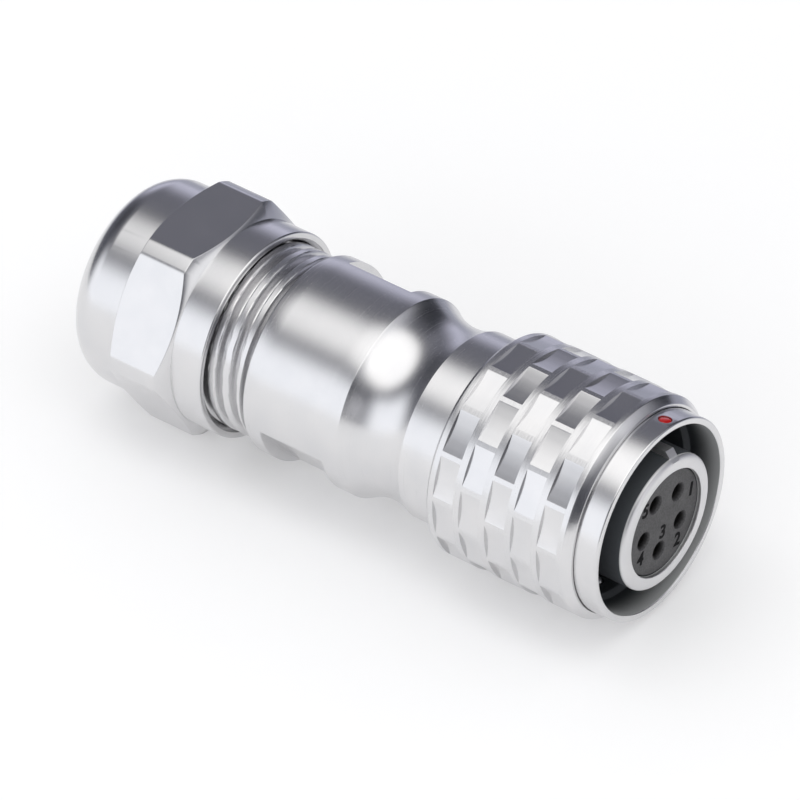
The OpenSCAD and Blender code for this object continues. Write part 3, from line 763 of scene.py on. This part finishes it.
def plated(name, base, roughness, hole=None):
    """A polished metal with faint drawing marks. Down a hole that is given by its mouth and radius,
    it has painted shade that darkens it."""
    nodes = Nodes(name)
    place = nodes.place()
    grain = nodes.noise(place, 6.0, 3.0)
    tone = nodes.mix(nodes.spread(grain), base, times(base, 0.88))
    if hole:
        mouth, radius = hole
        off = nodes.vector("SUBTRACT", place, mouth)
        within = nodes.ramp(nodes.from_axis(off), radius + 0.05, radius + 0.02)
        # Painted shade down the hole: the tone goes to 3 % of the base over 1.5 mm
        deep = nodes.math("MULTIPLY", within, nodes.ramp(nodes.part(off, "X"), 0.0, -1.5))
        tone = nodes.mix(deep, tone, times(base, 0.03))
    gloss = nodes.spread(grain, roughness - 0.04, roughness + 0.05)
    return nodes.surface(nodes.shader(tone, gloss, Metallic=1.0))


def red_enamel():
    """Glossy enamel with slight depth of colour."""
    base = bpy.context.scene.connector_finish.enamel
    nodes = Nodes("red_enamel")
    clouds = nodes.noise(nodes.place(), 3.0)
    tone = nodes.mix(nodes.spread(clouds), base, times(base, 0.8))
    return nodes.surface(nodes.shader(tone, 0.12, Coat_Weight=0.6, Coat_Roughness=0.05))


# Operators


class BuildFrontShell(Operator):
    """Builds the front shell with its socket, ball holes and dot recess"""

    bl_idname = "connector.front_shell"
    bl_label = "Front shell"

    def execute(self, context):
        s = sizes("connector_shell")
        ring_r = high("front_shell", Z)
        seam = low("front_shell", X)
        register = high("neck_body", X) + s.fit_gap
        register_r = s.socket_radius + s.register_height + s.fit_gap
        outline = rounded([
            (0.0, s.mouth_radius, 0.16),
            (0.0, ring_r, 0.16),
            (-s.ring_length, ring_r, 0.05),
            (-s.ring_length, s.guide_radius),
            (seam, s.guide_radius, 0.04),
            (seam, register_r),
            (register, register_r),
            (register, s.socket_radius),
            (-s.mouth_depth - (s.mouth_radius - s.socket_radius), s.socket_radius, 0.1),
            (-s.mouth_depth, s.mouth_radius, 0.1),
        ])
        shell = lathe("front_shell_turned", even_angles(SHELL_SIDES), outline)
        dot_r = s.dot_diameter / 2
        dot_floor = ring_r - s.dot_depth
        dot_place = radial(s.key_turn, -s.dot_back)
        dot = rod("dot_cutter", ((dot_r, 0.0), (dot_r, 1.0)))
        dot.matrix_world = dot_place @ Matrix.Translation((0.0, 0.0, dot_floor * MM))
        cutters = [dot]
        for n in range(1, BALLS + 1):
            lo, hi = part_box(f"latch_ball_{n}")
            middle = (lo + hi) / 2
            hole_r = (hi.x - lo.x) / 2 / MM + BALL_PLAY
            hole = rod("ball_cutter", [(hole_r, end) for end in BALL_HOLE], BALL_SIDES)
            hole.matrix_world = radial(atan2(-middle.y, middle.z), middle.x / MM)
            cutters.append(hole)
        weigh_normals(cut(shell, cutters))
        # Inside the socket the plate is dulled, with painted shade that darkens it with depth
        nickel = satin_nickel("front_shell_nickel", inside=(s.mouth_radius, *SOCKET_SHADE))
        finish_piece(shell, "plug", "front_shell", nickel)
        enamel = rod("index_dot_enamel", [(dot_r * part, dot_floor + up) for part, up in DOT_DOME])
        enamel.data.transform(dot_place)
        finish_piece(enamel, "plug", "index_dot", red_enamel())
        return {"FINISHED"}


class BuildNeckBody(Operator):
    """Builds the body behind the socket: the floor with the key's way, the neck and the spigot"""

    bl_idname = "connector.neck_body"
    bl_label = "Neck body"

    def execute(self, context):
        s = sizes("connector_shell")
        insert = sizes("connector_insert")
        front, rear = ends("neck_body")
        register_r = s.socket_radius + s.register_height
        outline = rounded([
            (front, s.socket_radius),
            (front, register_r),
            (-s.socket_depth, register_r),
            (-s.socket_depth, s.guide_radius, 0.04),
            (-s.guide_rear, s.guide_radius, 0.05),
            (-s.guide_rear, s.neck_radius),
            (-s.neck_rear, s.neck_radius, 0.05),
            (-s.neck_rear, s.spigot_radius),
            (rear, s.spigot_radius, 0.12),
            (rear, s.bore_radius, 0.12),
            (-s.stop_rear, s.bore_radius),
            (-s.stop_rear, s.stop_radius),
            (-s.socket_depth, s.stop_radius),
            (-s.socket_depth, s.socket_radius),
        ])
        half = atan((insert.key_width / 2 + insert.key_room) / insert.key_top)
        angles = even_angles(NECK_SIDES, both_sides(s.key_turn, half, half * WAY_EDGE))
        on_way = np.abs(from_centre(angles, s.key_turn, TURN)) <= half + TINY
        way = np.where(on_way, insert.key_top + insert.key_room, s.stop_radius)
        loops = [(x, way if r == s.stop_radius else r) for x, r in outline]
        body = weigh_normals(lathe("neck_body_turned", angles, loops))
        # Inside the socket the plate is dulled, with painted shade that darkens it with depth
        nickel = satin_nickel("neck_body_nickel", inside=(s.socket_radius, *SOCKET_SHADE))
        finish_piece(body, "plug", "neck_body", nickel)
        return {"FINISHED"}


class BuildSleeve(Operator):
    """Builds the release sleeve with its staggered columns of flats"""

    bl_idname = "connector.sleeve"
    bl_label = "Release sleeve"

    def execute(self, context):
        s = sizes("connector_grip")
        key_turn = sizes("connector_shell").key_turn
        front, rear = ends("release_sleeve")
        outer = high("release_sleeve", Z)
        outline = rounded([
            (front, s.lip_radius, 0.05),
            (front, s.lip_radius + s.front_face, 0.16),
            (front - s.bevel, outer, 0.12),
            (rear + s.rear_chamfer, outer, 0.1),
            (rear, outer - s.rear_chamfer, 0.08),
            (rear, s.bore_radius, 0.08),
            (-s.rib_rear, s.bore_radius),
            (-s.rib_rear, s.rib_radius),
            (-s.rib_front, s.rib_radius),
            (-s.rib_front, s.land_radius),
            (-s.ramp_rear, s.land_radius),
            (-s.ramp_front, s.relief_radius),
            (front - s.lip_length, s.relief_radius),
            (front - s.lip_length, s.lip_radius),
        ])
        pitch_angle = TURN / s.flats
        flat_r = outer - s.depth
        half = acos(flat_r / outer)
        edges = [
            key_turn + k * pitch_angle / 2 + side * half + beside
            for k in range(2 * s.flats) for side in (-1, 0, 1)
            for beside in (0.0, BESIDE_EDGE, -BESIDE_EDGE)
        ]
        angles = even_angles(2 * s.flats, edges)
        pitch = (front - rear - s.front_land - s.rear_land + s.land) / s.columns
        columns = []
        for c in range(s.columns):
            x_front = front - s.front_land - c * pitch
            x_rear = x_front - (pitch - s.land)
            turn = key_turn + (pitch_angle / 2 if c % 2 == 0 else 0.0)
            away = from_centre(angles, turn, pitch_angle)
            across = np.clip(np.tan(away) / tan(half), -1.0, 1.0)
            hollow_r = np.hypot(flat_r - s.hollow * (1 - across ** 2), flat_r * np.tan(away))
            radius = np.where(np.abs(away) < half, np.minimum(outer, hollow_r), outer)
            columns += [
                (x_front, outer),
                (x_front - s.wall_slope, radius),
                (x_rear + s.wall_slope, radius),
                (x_rear, outer),
            ]
        grip = (front - s.front_land, rear + s.rear_land)
        loops = with_loops(outline, columns, lambda x, r: x > grip[0] and r > outer - TINY)
        sleeve = lathe("release_sleeve_grip", angles, loops)
        harden(sleeve.data, (grip[0] + GRIP_MARGIN, grip[1] - GRIP_MARGIN), GRIP_CREASE)
        weigh_normals(sleeve)
        nickel = satin_nickel("sleeve_nickel", roughness_shift=-0.02, turning=0.3, lands=outer)
        finish_piece(sleeve, "sleeve", "release_sleeve", nickel)
        return {"FINISHED"}


class BuildBackShell(Operator):
    """Builds the back shell with its waist, wrench flats and helical gland thread"""

    bl_idname = "connector.back_shell"
    bl_label = "Back shell"

    def execute(self, context):
        s = sizes("connector_back")
        nose, rear = ends("back_shell")
        barrel_r = high("back_shell", Z)
        root_r = s.thread_radius - s.thread_depth
        shoulder = -s.shoulder
        thread_front = shoulder - s.groove
        drop = s.band_radius - s.waist_radius
        rise = barrel_r - s.waist_radius
        waist_x = -s.band_rear - sqrt(2 * s.waist_round * drop - drop ** 2)
        barrel_x = waist_x - sqrt(2 * s.waist_round * rise - rise ** 2)
        start = asin((-s.band_rear - waist_x) / s.waist_round)
        end = asin((barrel_x - waist_x) / s.waist_round)
        waist = arc(
            (waist_x, s.waist_radius + s.waist_round), (s.waist_round, -s.waist_round),
            np.linspace(start, end, WAIST_STEPS + 1)[1:-1],
        )
        outline = rounded([
            (nose, s.nose_bore, 0.1),
            (nose, s.band_radius, 0.12),
            (-s.band_rear, s.band_radius, 0.06),
            *waist,
            (barrel_x, barrel_r, 0.08),
            (shoulder, barrel_r, 0.16),
            (shoulder, root_r, 0.1),
            (thread_front, root_r),
            (rear, root_r),
            (rear, s.gland_radius, 0.1),
            (-s.seat, s.gland_radius),
            (-s.seat, s.throat_radius, 0.1),
            (-s.throat_front, s.throat_radius, 0.1),
            (-s.throat_front, s.cavity_radius),
            (-s.cavity_front, s.cavity_radius, 0.1),
            (-s.cavity_front, s.nose_bore),
        ])
        flat_r = barrel_r - s.flat_depth
        half = acos(flat_r / barrel_r)
        edges = both_sides(s.flat_turn, half) + both_sides(s.flat_turn + pi, half)
        angles = even_angles(BARREL_SIDES, edges)
        flat_front = shoulder + s.barrel_length - s.flat_inset
        flat_rear = shoulder + s.flat_inset
        away = from_centre(angles, s.flat_turn, pi)
        on_flat = np.abs(away) <= half + TINY
        flat_edge = np.where(on_flat, flat_r / np.cos(np.clip(away, -half, half)), barrel_r)
        flats = [
            (flat_front, barrel_r),
            (flat_front - WRENCH_WALL, flat_edge),
            (flat_rear + WRENCH_WALL, flat_edge),
            (flat_rear, barrel_r),
        ]
        turns = (angles - s.crest_turn) / TURN
        thread = []
        for x in np.linspace(thread_front, rear, THREAD_RINGS + 1)[1:-1]:
            phase = ((x + s.crest) / s.thread_pitch - turns + 0.5) % 1.0
            off_crest = np.clip((np.abs(phase - 0.5) * 2 - THREAD_CREST) / THREAD_FLANK, 0.0, 1.0)
            ridge = 1 - off_crest ** 2 * (3 - 2 * off_crest)
            fade = min(1.0, (thread_front - x) / THREAD_FADE[0], (x - rear) / THREAD_FADE[1])
            thread.append((x, root_r + s.thread_depth * ridge * fade))
        on_barrel = with_loops(
            outline, flats, lambda x, r: x > flat_front and abs(r - barrel_r) < TINY
        )
        loops = with_loops(on_barrel, thread, lambda x, r: abs(x - thread_front) < TINY)
        shell = weigh_normals(lathe("back_shell_turned", angles, loops))
        for face in shell.data.polygons:
            place = face.center / MM
            across = abs(-place.y * sin(s.flat_turn) + place.z * cos(s.flat_turn))
            if flat_rear < place.x < flat_front and abs(across - flat_r) < WRENCH_NEAR:
                face.use_smooth = False
        nickel = satin_nickel("back_shell_nickel", roughness_shift=0.02)
        finish_piece(shell, "plug", "back_shell", nickel)
        return {"FINISHED"}


class BuildGlandNut(Operator):
    """Builds the gland nut with its collar, chamfered hexagon and dome"""

    bl_idname = "connector.gland_nut"
    bl_label = "Gland nut"

    def execute(self, context):
        s = sizes("connector_nut")
        gland = sizes("connector_gland")
        front, rear = ends("gland_nut")
        corner_r = high("gland_nut", Y)
        hex_r = high("gland_nut", Z)
        half = acos(hex_r / corner_r)
        pitch = TURN / HEX_SIDES
        edges = [a for k in range(HEX_SIDES) for a in both_sides(k * pitch, half)]
        angles = even_angles(NUT_SIDES, edges)
        hex_edge = hex_r / np.cos(np.clip(from_centre(angles, 0.0, pitch), -half, half))
        hex_front = front - s.collar_length
        hex_rear = hex_front - s.hex_length
        front_slope = (corner_r - s.collar_radius) / s.hex_chamfer
        rear_slope = (corner_r - s.dome_radius) / s.hex_chamfer
        edge_front = hex_front - (hex_edge - s.collar_radius) / front_slope
        edge_rear = hex_rear + (hex_edge - s.dome_radius) / rear_slope
        hexagon = [
            (hex_front, s.collar_radius),
            (edge_front + HEX_SOFT / front_slope, hex_edge - HEX_SOFT),
            (edge_front - HEX_SOFT, hex_edge),
            (edge_rear + HEX_SOFT, hex_edge),
            (edge_rear - HEX_SOFT / rear_slope, hex_edge - HEX_SOFT),
            (hex_rear, s.dome_radius),
        ]
        dome = arc(
            (rear + s.dome_round, s.dome_radius - s.dome_round), (-s.dome_round, s.dome_round),
            np.linspace(0.0, pi / 2, DOME_STEPS + 1),
        )
        floor_x = hex_rear + s.floor_inset
        cone_rear = low("clamp_collet", X) - CONE_ROOM[0]
        cone_r = gland.finger_root + CONE_ROOM[1]
        slope = (gland.finger_root - gland.finger_tip) / gland.finger_length
        # The last point of these two outlines only turns the corners beside it, and is then dropped
        collar = rounded([
            (front - s.mouth_chamfer, s.bore_radius, 0.05),
            (front, s.bore_radius + s.mouth_chamfer, 0.06),
            (front, s.collar_radius, 0.16),
            (hex_front, s.collar_radius),
        ])[:-1]
        inside = rounded([
            (rear, s.hole_radius, 0.16),
            (cone_rear, s.hole_radius, 0.08),
            (cone_rear, cone_r - slope * (floor_x - cone_rear)),
            (floor_x, cone_r),
            (floor_x, s.bore_radius),
            (rear + HOLE_LEAN, s.dome_radius),
        ])[:-1]
        loops = collar + hexagon + dome + inside
        nut = weigh_normals(lathe("gland_nut_turned", angles, loops, flat_band=len(collar) + 2))
        finish_piece(nut, "nut", "gland_nut", satin_nickel("nut_nickel"))
        return {"FINISHED"}


class BuildInsert(Operator):
    """Builds the keyed contact shell and the numbered insulator"""

    bl_idname = "connector.insert"
    bl_label = "Insert"

    def execute(self, context):
        s = sizes("connector_insert")
        look = context.scene.connector_finish
        key_turn = sizes("connector_shell").key_turn
        self.contact_shell(s, key_turn)
        self.insulator(s, key_turn, look)
        self.numbers(s, key_turn, look)
        return {"FINISHED"}

    @staticmethod
    def contact_shell(s, key_turn):
        front, rear = ends("contact_shell")
        flange = -s.flange_front
        flange_r = high("contact_shell", Z)
        half_low = asin(s.key_width / 2 / s.tube_radius)
        half_top = atan(s.key_width / 2 / s.key_top)
        edges = both_sides(key_turn, half_low, half_top, half_top * KEY_EDGE)
        angles = even_angles(TUBE_SIDES, edges)
        away = from_centre(angles, key_turn, TURN)
        on_key = np.abs(away) <= half_top + TINY
        ridge_r = s.tube_radius - s.lead_in_height
        key_nose = s.tube_radius - s.lead_in_height / 2
        rim = arc(
            (front - s.rim_round, ridge_r), (s.rim_round, s.lead_in_height),
            np.linspace(pi / 2, 0.0, RIM_STEPS + 1)[1:-1],
        )
        outline = rounded([
            (front, s.tube_bore, 0.1),
            (front, ridge_r),
            *rim,
            (front - s.rim_round, s.tube_radius),
            (front - (s.key_top - key_nose), s.tube_radius),
            (flange, s.tube_radius),
            (flange, flange_r, 0.08),
            (rear, flange_r, 0.08),
            (rear, s.pocket_radius),
            (-s.pocket_front, s.pocket_radius),
            (-s.pocket_front, s.tube_bore),
        ])
        loops = []
        for x, r in outline:
            if ridge_r < r <= s.tube_radius:
                top = min(s.key_top, key_nose + front - x) / np.cos(away)
                r = np.where(on_key, np.maximum(r, top), r)
            loops.append((x, r))
        piece = weigh_normals(lathe("contact_shell_keyed", angles, loops))
        # The tube's flank behind the rim is dulled, with painted shade that darkens it over a short
        # reach
        flank = (s.tube_radius, front - s.rim_round + FLANK_SHADE[0], FLANK_SHADE[1])
        nickel = satin_nickel("contact_shell_nickel", roughness_shift=0.2, inside=flank)
        finish_piece(piece, "plug", "contact_shell", nickel)

    @staticmethod
    def insulator(s, key_turn, look):
        face_x, rear = ends("front_insulator")
        flange_r = high("front_insulator", Z)
        mesh = bpy.data.meshes.new("front_insulator_moulded")
        with opened(mesh) as work:

            def ring(middle, r, x, sides):
                return add_ring(work, r, sides, lambda y, z: (x, middle[0] + y, middle[1] + z))

            def edges_of(loop):
                return [work.edges.get((loop[k], loop[k - 1])) for k in range(len(loop))]

            stack = (
                (s.insulator_radius - INSULATOR_EDGE, face_x),
                (s.insulator_radius, face_x - INSULATOR_EDGE),
                (s.insulator_radius, rear + INSULATOR_FLANGE),
                (flange_r, rear + INSULATOR_FLANGE),
                (flange_r, rear),
            )
            rings = [ring((0.0, 0.0), r, x, INSULATOR_SIDES) for r, x in stack]
            join_rings(work, *rings)
            work.faces.new(rings[-1])
            face_edges = edges_of(rings[0])
            for n in range(1, CONTACTS + 1):
                turn = key_turn - TURN / CONTACTS * (n - 0.5)
                middle = (-s.contact_circle * sin(turn), s.contact_circle * cos(turn))
                mouth = ring(middle, s.hole_radius + s.hole_lead_in, face_x, HOLE_SIDES)
                throat = ring(middle, s.hole_radius, face_x - s.hole_lead_in, HOLE_SIDES)
                floor = ring(middle, s.hole_radius, HOLE_FLOOR, HOLE_SIDES)
                join_rings(work, mouth, throat, floor)
                work.faces.new(floor)
                face_edges += edges_of(mouth)
            bmesh.ops.triangle_fill(work, use_beauty=True, edges=face_edges)
            bmesh.ops.recalc_face_normals(work, faces=work.faces)
        piece = weigh_normals(new_object("front_insulator_moulded", mesh))
        # Painted shade darkens the insulator's holes below its face
        grey = moulded(
            "insulator_grey", look.insulator, 0.55, grain=(0.14, 0.03), contrast=0.4,
            shaded_below=face_x - 0.03,
        )
        finish_piece(piece, "plug", "front_insulator", grey)

    @staticmethod
    def numbers(s, key_turn, look):
        """The numbers 1 to 5, moulded beside their contacts."""
        face_x = high("front_insulator", X)
        finish = moulded("number_black", look.digit, 0.7, grain=(0.05, 0.01), shine=0.1)
        upright = Matrix(((0, 0, 1, 0), (1, 0, 0, 0), (0, 1, 0, 0), (0, 0, 0, 1)))
        turned = Matrix.Rotation(key_turn, 4, "X") @ upright
        for n, (turn, reach, bold) in enumerate(NUMBERS, 1):
            letters = bpy.data.curves.new(f"contact_number_{n}", "FONT")
            letters.body = str(n)
            letters.size = s.digit_height * MM * FONT_SCALE
            letters.extrude = s.digit_depth * MM / 2
            letters.offset = bold * MM
            letters.align_x = "CENTER"
            letters.align_y = "CENTER"
            text = new_object(f"number_text_{n}", letters)
            mesh = evaluated_mesh(text)
            bpy.data.objects.remove(text)
            bpy.data.curves.remove(letters)
            mesh.name = f"contact_number_{n}"
            a = radians(turn) + key_turn
            middle = Vector((face_x, -reach * sin(a), reach * cos(a))) * MM
            mesh.transform(Matrix.Translation(middle) @ turned)
            piece = new_object(f"contact_number_{n}", mesh)
            piece.data.materials.append(finish)
            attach(piece, "plug")


class BuildGlandInside(Operator):
    """Builds the spring, the cable seal and the slotted collet"""

    bl_idname = "connector.gland_inside"
    bl_label = "Spring, seal and collet"

    def execute(self, context):
        s = sizes("connector_gland")
        look = context.scene.connector_finish
        self.spring(s, look)
        self.seal(s, look)
        self.collet(s, look)
        return {"FINISHED"}

    @staticmethod
    def spring(s, look):
        front, rear = ends("release_spring")
        wire = s.spring_wire / 2
        middle_r = high("release_spring", Z) - wire
        closed_pitch = s.spring_wire + COIL_GAP
        open_pitch = (front - rear - s.spring_wire - 2 * closed_pitch) / (s.spring_turns - 2)
        last = s.spring_turns * COIL_STEPS
        points = []
        for i in range(last + 1):
            turn = i / COIL_STEPS
            opened_turns = min(max(turn - 1, 0), s.spring_turns - 2)
            reach = closed_pitch * (turn - opened_turns) + open_pitch * opened_turns
            for k in range(COIL_SIDES):
                b = TURN * k / COIL_SIDES
                r = middle_r + wire * cos(b)
                x = front - wire - reach + wire * sin(b)
                a = TURN * turn
                points.append((x * MM, r * MM * sin(a), r * MM * cos(a)))
        tips = [tuple(row * COIL_SIDES + k for k in range(COIL_SIDES)) for row in (0, last)]
        mesh = bpy.data.meshes.new("release_spring_wire")
        mesh.from_pydata(points, [], bands(last + 1, COIL_SIDES, closed=False) + tips)
        mesh.shade_smooth()
        tidy_mesh(mesh)
        piece = new_object("release_spring_wire", mesh)
        steel = plated("spring_steel", look.steel, 0.3)
        finish_piece(piece, "plug", "release_spring", steel)
        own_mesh(piece)

    @staticmethod
    def seal(s, look):
        front, rear = ends("cable_seal")
        radii = (s.cable_radius, high("cable_seal", Z))
        corners = ((front, 0), (front, 1), (rear, 1), (rear, 0))
        outline = rounded([(x, radii[side], SEAL_ROUND) for x, side in corners])
        seal = weigh_normals(lathe("cable_seal_moulded", even_angles(GLAND_SIDES), outline))
        rubber = moulded("seal_rubber", look.rubber, 0.6, grain=(0.06, 0.01))
        finish_piece(seal, "plug", "cable_seal", rubber)
        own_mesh(seal)

    @staticmethod
    def collet(s, look):
        front, tip = ends("clamp_collet")
        flange_r = high("clamp_collet", Z)
        flange_rear = tip + s.finger_length
        outline = rounded([
            (front, s.collet_bore, 0.1),
            (front, s.spigot_radius, 0.15),
            (flange_rear + s.flange_length, s.spigot_radius),
            (flange_rear + s.flange_length, flange_r, 0.1),
            (flange_rear, flange_r, 0.1),
            (flange_rear, s.finger_root, 0.1),
            (tip, s.finger_tip, 0.2),
            (tip, s.collet_bore, 0.2),
        ])
        collet = lathe("clamp_collet_moulded", even_angles(GLAND_SIDES), outline)
        cutters = []
        for k in range(1, FINGERS // 2 + 1):
            bar = new_object("slot_cutter", bpy.data.meshes.new("slot_cutter"))
            with opened(bar.data) as work:
                bmesh.ops.create_cube(work, size=MM)
                bar_size = (SLOT_BAR[0], s.finger_gap, SLOT_BAR[1])
                bmesh.ops.scale(work, vec=bar_size, verts=work.verts)
                middle = flange_rear - s.slot_root - SLOT_BAR[0] / 2
                bmesh.ops.translate(work, vec=(middle * MM, 0, 0), verts=work.verts)
            bar.matrix_world = Matrix.Rotation(TURN / FINGERS * k, 4, "X")
            cutters.append(bar)
        weigh_normals(cut(collet, cutters))
        black = moulded("collet_black", look.polyamide, 0.45, grain=(0.12, 0.01))
        finish_piece(collet, "collet", "clamp_collet", black)


class FinishInnerPieces(Operator):
    """Gives the contacts, seals and other inner solids their finishes"""

    bl_idname = "connector.inner_finishes"
    bl_label = "Inner finishes"

    def execute(self, context):
        look = context.scene.connector_finish
        pin_r = sizes("connector_insert").pin_radius
        steel = plated("ball_steel", look.steel, 0.4)
        rubber = moulded("ring_rubber", look.rubber, 0.5, grain=(0.05, 0.005))
        grey = moulded("rear_insulator_grey", look.insulator, 0.55, grain=(0.09, 0.02))
        finishes = {
            "insert_nut": satin_nickel("insert_nut_nickel", roughness_shift=0.05),
            "rear_insulator": grey,
            "interface_seal": rubber,
            "body_seal": rubber,
        }
        for n in range(1, CONTACTS + 1):
            lo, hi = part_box(f"socket_contact_{n}")
            mouth = Vector((hi.x, (lo.y + hi.y) / 2, (lo.z + hi.z) / 2)) / MM
            # Painted shade darkens each contact's pin hole
            gold = plated(f"contact_gold_{n}", look.gold, 0.22, (mouth, pin_r))
            finishes[f"socket_contact_{n}"] = gold
        for n in range(1, BALLS + 1):
            finishes[f"latch_ball_{n}"] = steel
        for name, finish in finishes.items():
            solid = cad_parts[name]
            solid.data.materials.clear()
            solid.data.materials.append(finish)
        return {"FINISHED"}


class BuildStage(Operator):
    """Builds the floor, the studio light and the camera"""

    bl_idname = "connector.stage"
    bl_label = "Stage"

    def execute(self, context):
        stage = context.scene.connector_stage
        context.scene.view_settings.view_transform = "Standard"
        self.floor(stage)
        self.world(stage)
        self.lamps(stage)
        self.studio(stage)
        self.far_card()
        self.camera(stage)
        return {"FINISHED"}

    @staticmethod
    def sheet(name, half, near, far, lift, material):
        """A level sheet over the lowest place of the part, in metres."""
        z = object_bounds()[0].z + lift
        corners = [(-half, near, z), (half, near, z), (half, far, z), (-half, far, z)]
        mesh = bpy.data.meshes.new(name)
        mesh.from_pydata(corners, [], [(0, 1, 2, 3)])
        mesh.materials.append(material)
        return new_object(name, mesh)

    @staticmethod
    def only_mirrored(piece):
        """Hides a piece from everything but mirror rays."""
        piece.visible_camera = False
        piece.visible_shadow = False
        piece.visible_diffuse = False
        return piece

    def floor(self, stage):
        nodes = Nodes("floor_white")
        grain = nodes.noise(nodes.place(), 0.02)
        tone = nodes.mix(grain, stage.floor, times(stage.floor, 0.99))
        lift = nodes.math("MULTIPLY", nodes.seen_directly(), FLOOR_LIFT)
        parts = {0: nodes.shader(tone, 0.9), 1: nodes.glow((1, 1, 1), lift)}
        material = nodes.surface(nodes.add("ShaderNodeAddShader", parts).outputs[0])
        self.sheet("floor", FLOOR_HALF, -FLOOR_HALF, FLOOR_HALF, 0.0, material)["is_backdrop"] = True

    @staticmethod
    def world(stage):
        world = bpy.data.worlds.new("white_surround")
        bpy.context.scene.world = world
        nodes = Nodes(world=world)
        strength = nodes.ramp(nodes.seen_directly(), 0.0, 1.0, stage.sky, 1.0)
        back = nodes.add("ShaderNodeBackground", {"Color": (1, 1, 1, 1), "Strength": strength})
        nodes.surface(back.outputs[0])

    @staticmethod
    def lamps(stage):
        reach = stage.studio_radius * LAMP_REACH
        for name, (degrees, long_side, short_side, brightness) in LAMPS.items():
            turn = radians(degrees)
            data = bpy.data.lights.new(name, "AREA")
            data.shape = "RECTANGLE"
            data.size, data.size_y = long_side, short_side
            data.energy = brightness * pi * long_side * short_side
            lamp = new_object(name, data)
            lamp.location = (0.0, -reach * sin(turn), reach * cos(turn))
            lamp.rotation_euler = (turn, 0.0, 0.0)
            lamp.visible_camera = False
            lamp.visible_glossy = False

    def studio(self, stage):
        """A dome of soft panels and darker walls round the part, which the metal mirrors."""
        nodes = Nodes("studio_panels")
        place = nodes.add("ShaderNodeNewGeometry").outputs["Position"]
        facing = nodes.vector("NORMALIZE", place)
        near = nodes.math("MULTIPLY", nodes.part(facing, "Y"), -1.0)
        azimuth = nodes.math("ARCTAN2", nodes.part(facing, "X"), near)
        elevation = nodes.math("ARCSINE", nodes.part(facing, "Z"))

        def within(value, middle, half, soft):
            off = nodes.math("SUBTRACT", value, radians(middle))
            turned = nodes.math("WRAP", off, pi, -pi)
            off = nodes.math("ABSOLUTE", turned)
            return nodes.soft(off, radians(half + soft), radians(half - soft))

        middle, reach, soft, tone = TOP_SOFTBOX
        towards = nodes.vector("DOT_PRODUCT", facing, direction(*map(radians, middle)))
        edges = [cos(radians(reach + side * soft)) for side in (1, -1)]
        light = nodes.vector("MULTIPLY_ADD", tone, nodes.soft(towards, *edges), STUDIO_WALL)
        for middle, half, soft, tone in STUDIO_PANELS.values():
            sides = [within(*side) for side in zip((azimuth, elevation), middle, half, soft)]
            light = nodes.vector("MULTIPLY_ADD", tone, nodes.math("MULTIPLY", *sides), light)
        mesh = bpy.data.meshes.new("studio_dome")
        with opened(mesh) as work:
            radius = stage.studio_radius
            bmesh.ops.create_uvsphere(work, u_segments=64, v_segments=32, radius=radius)
            under = [v for v in work.verts if v.co.z < -DOME_SKIRT * radius]
            bmesh.ops.delete(work, geom=under, context="VERTS")
        mesh.materials.append(nodes.surface(nodes.glow(light)))
        self.only_mirrored(new_object("studio_dome", mesh))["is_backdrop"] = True

    def far_card(self):
        """A lilac card on the floor beyond the part, which only the metal mirrors."""
        half, near, far, soft_end, lift = CARD_PLACE
        nodes = Nodes("far_card")
        place = nodes.add("ShaderNodeNewGeometry").outputs["Position"]
        cover = nodes.soft(nodes.part(place, "Y"), near, soft_end)
        clear = nodes.add("ShaderNodeBsdfTransparent").outputs[0]
        both = nodes.add("ShaderNodeMixShader", {0: cover, 1: clear, 2: nodes.glow(FAR_CARD)})
        material = nodes.surface(both.outputs[0])
        self.only_mirrored(self.sheet("far_card", half, near, far, lift, material))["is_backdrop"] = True

    @staticmethod
    def camera(stage):
        data = bpy.data.cameras.new("photo_camera")
        data.lens = stage.camera_lens
        data.sensor_width = 36.0
        data.clip_start = 0.01
        data.clip_end = 10.0
        camera = new_object("photo_camera", data)
        camera.rotation_mode = "QUATERNION"
        ahead = -direction(stage.camera_azimuth, stage.camera_elevation)
        level = ahead.to_track_quat("-Z", "Y").to_matrix().to_4x4()
        turned = level @ Matrix.Rotation(stage.camera_roll, 4, "Z")
        camera.rotation_quaternion = turned.to_quaternion()
        camera.location = stage.camera_place
        bpy.context.scene.camera = camera


PIECE_OPERATORS = (
    BuildFrontShell, BuildNeckBody, BuildSleeve, BuildBackShell, BuildGlandNut, BuildInsert,
    BuildGlandInside, FinishInnerPieces, BuildStage,
)


class ConnectorPanel(Panel):
    """Lists the steps that build the connector"""

    bl_idname = "VIEW3D_PT_connector"
    bl_label = "Circular sensor connector"
    bl_space_type = "VIEW_3D"
    bl_region_type = "UI"
    bl_category = "Connector"

    def draw(self, context):
        for operator in PIECE_OPERATORS:
            self.layout.operator(operator.bl_idname)


CLASSES = (*GROUPS.values(), *PIECE_OPERATORS, ConnectorPanel)


def register():
    for cls in CLASSES:
        bpy.utils.register_class(cls)
    for name, group in GROUPS.items():
        setattr(bpy.types.Scene, name, PointerProperty(type=group))


def unregister():
    for name in GROUPS:
        delattr(bpy.types.Scene, name)
    for cls in reversed(CLASSES):
        bpy.utils.unregister_class(cls)


def main():
    register()
    for operator in PIECE_OPERATORS:
        category, name = operator.bl_idname.split(".")
        getattr(getattr(bpy.ops, category), name)()


if __name__ == "__main__":
    main()
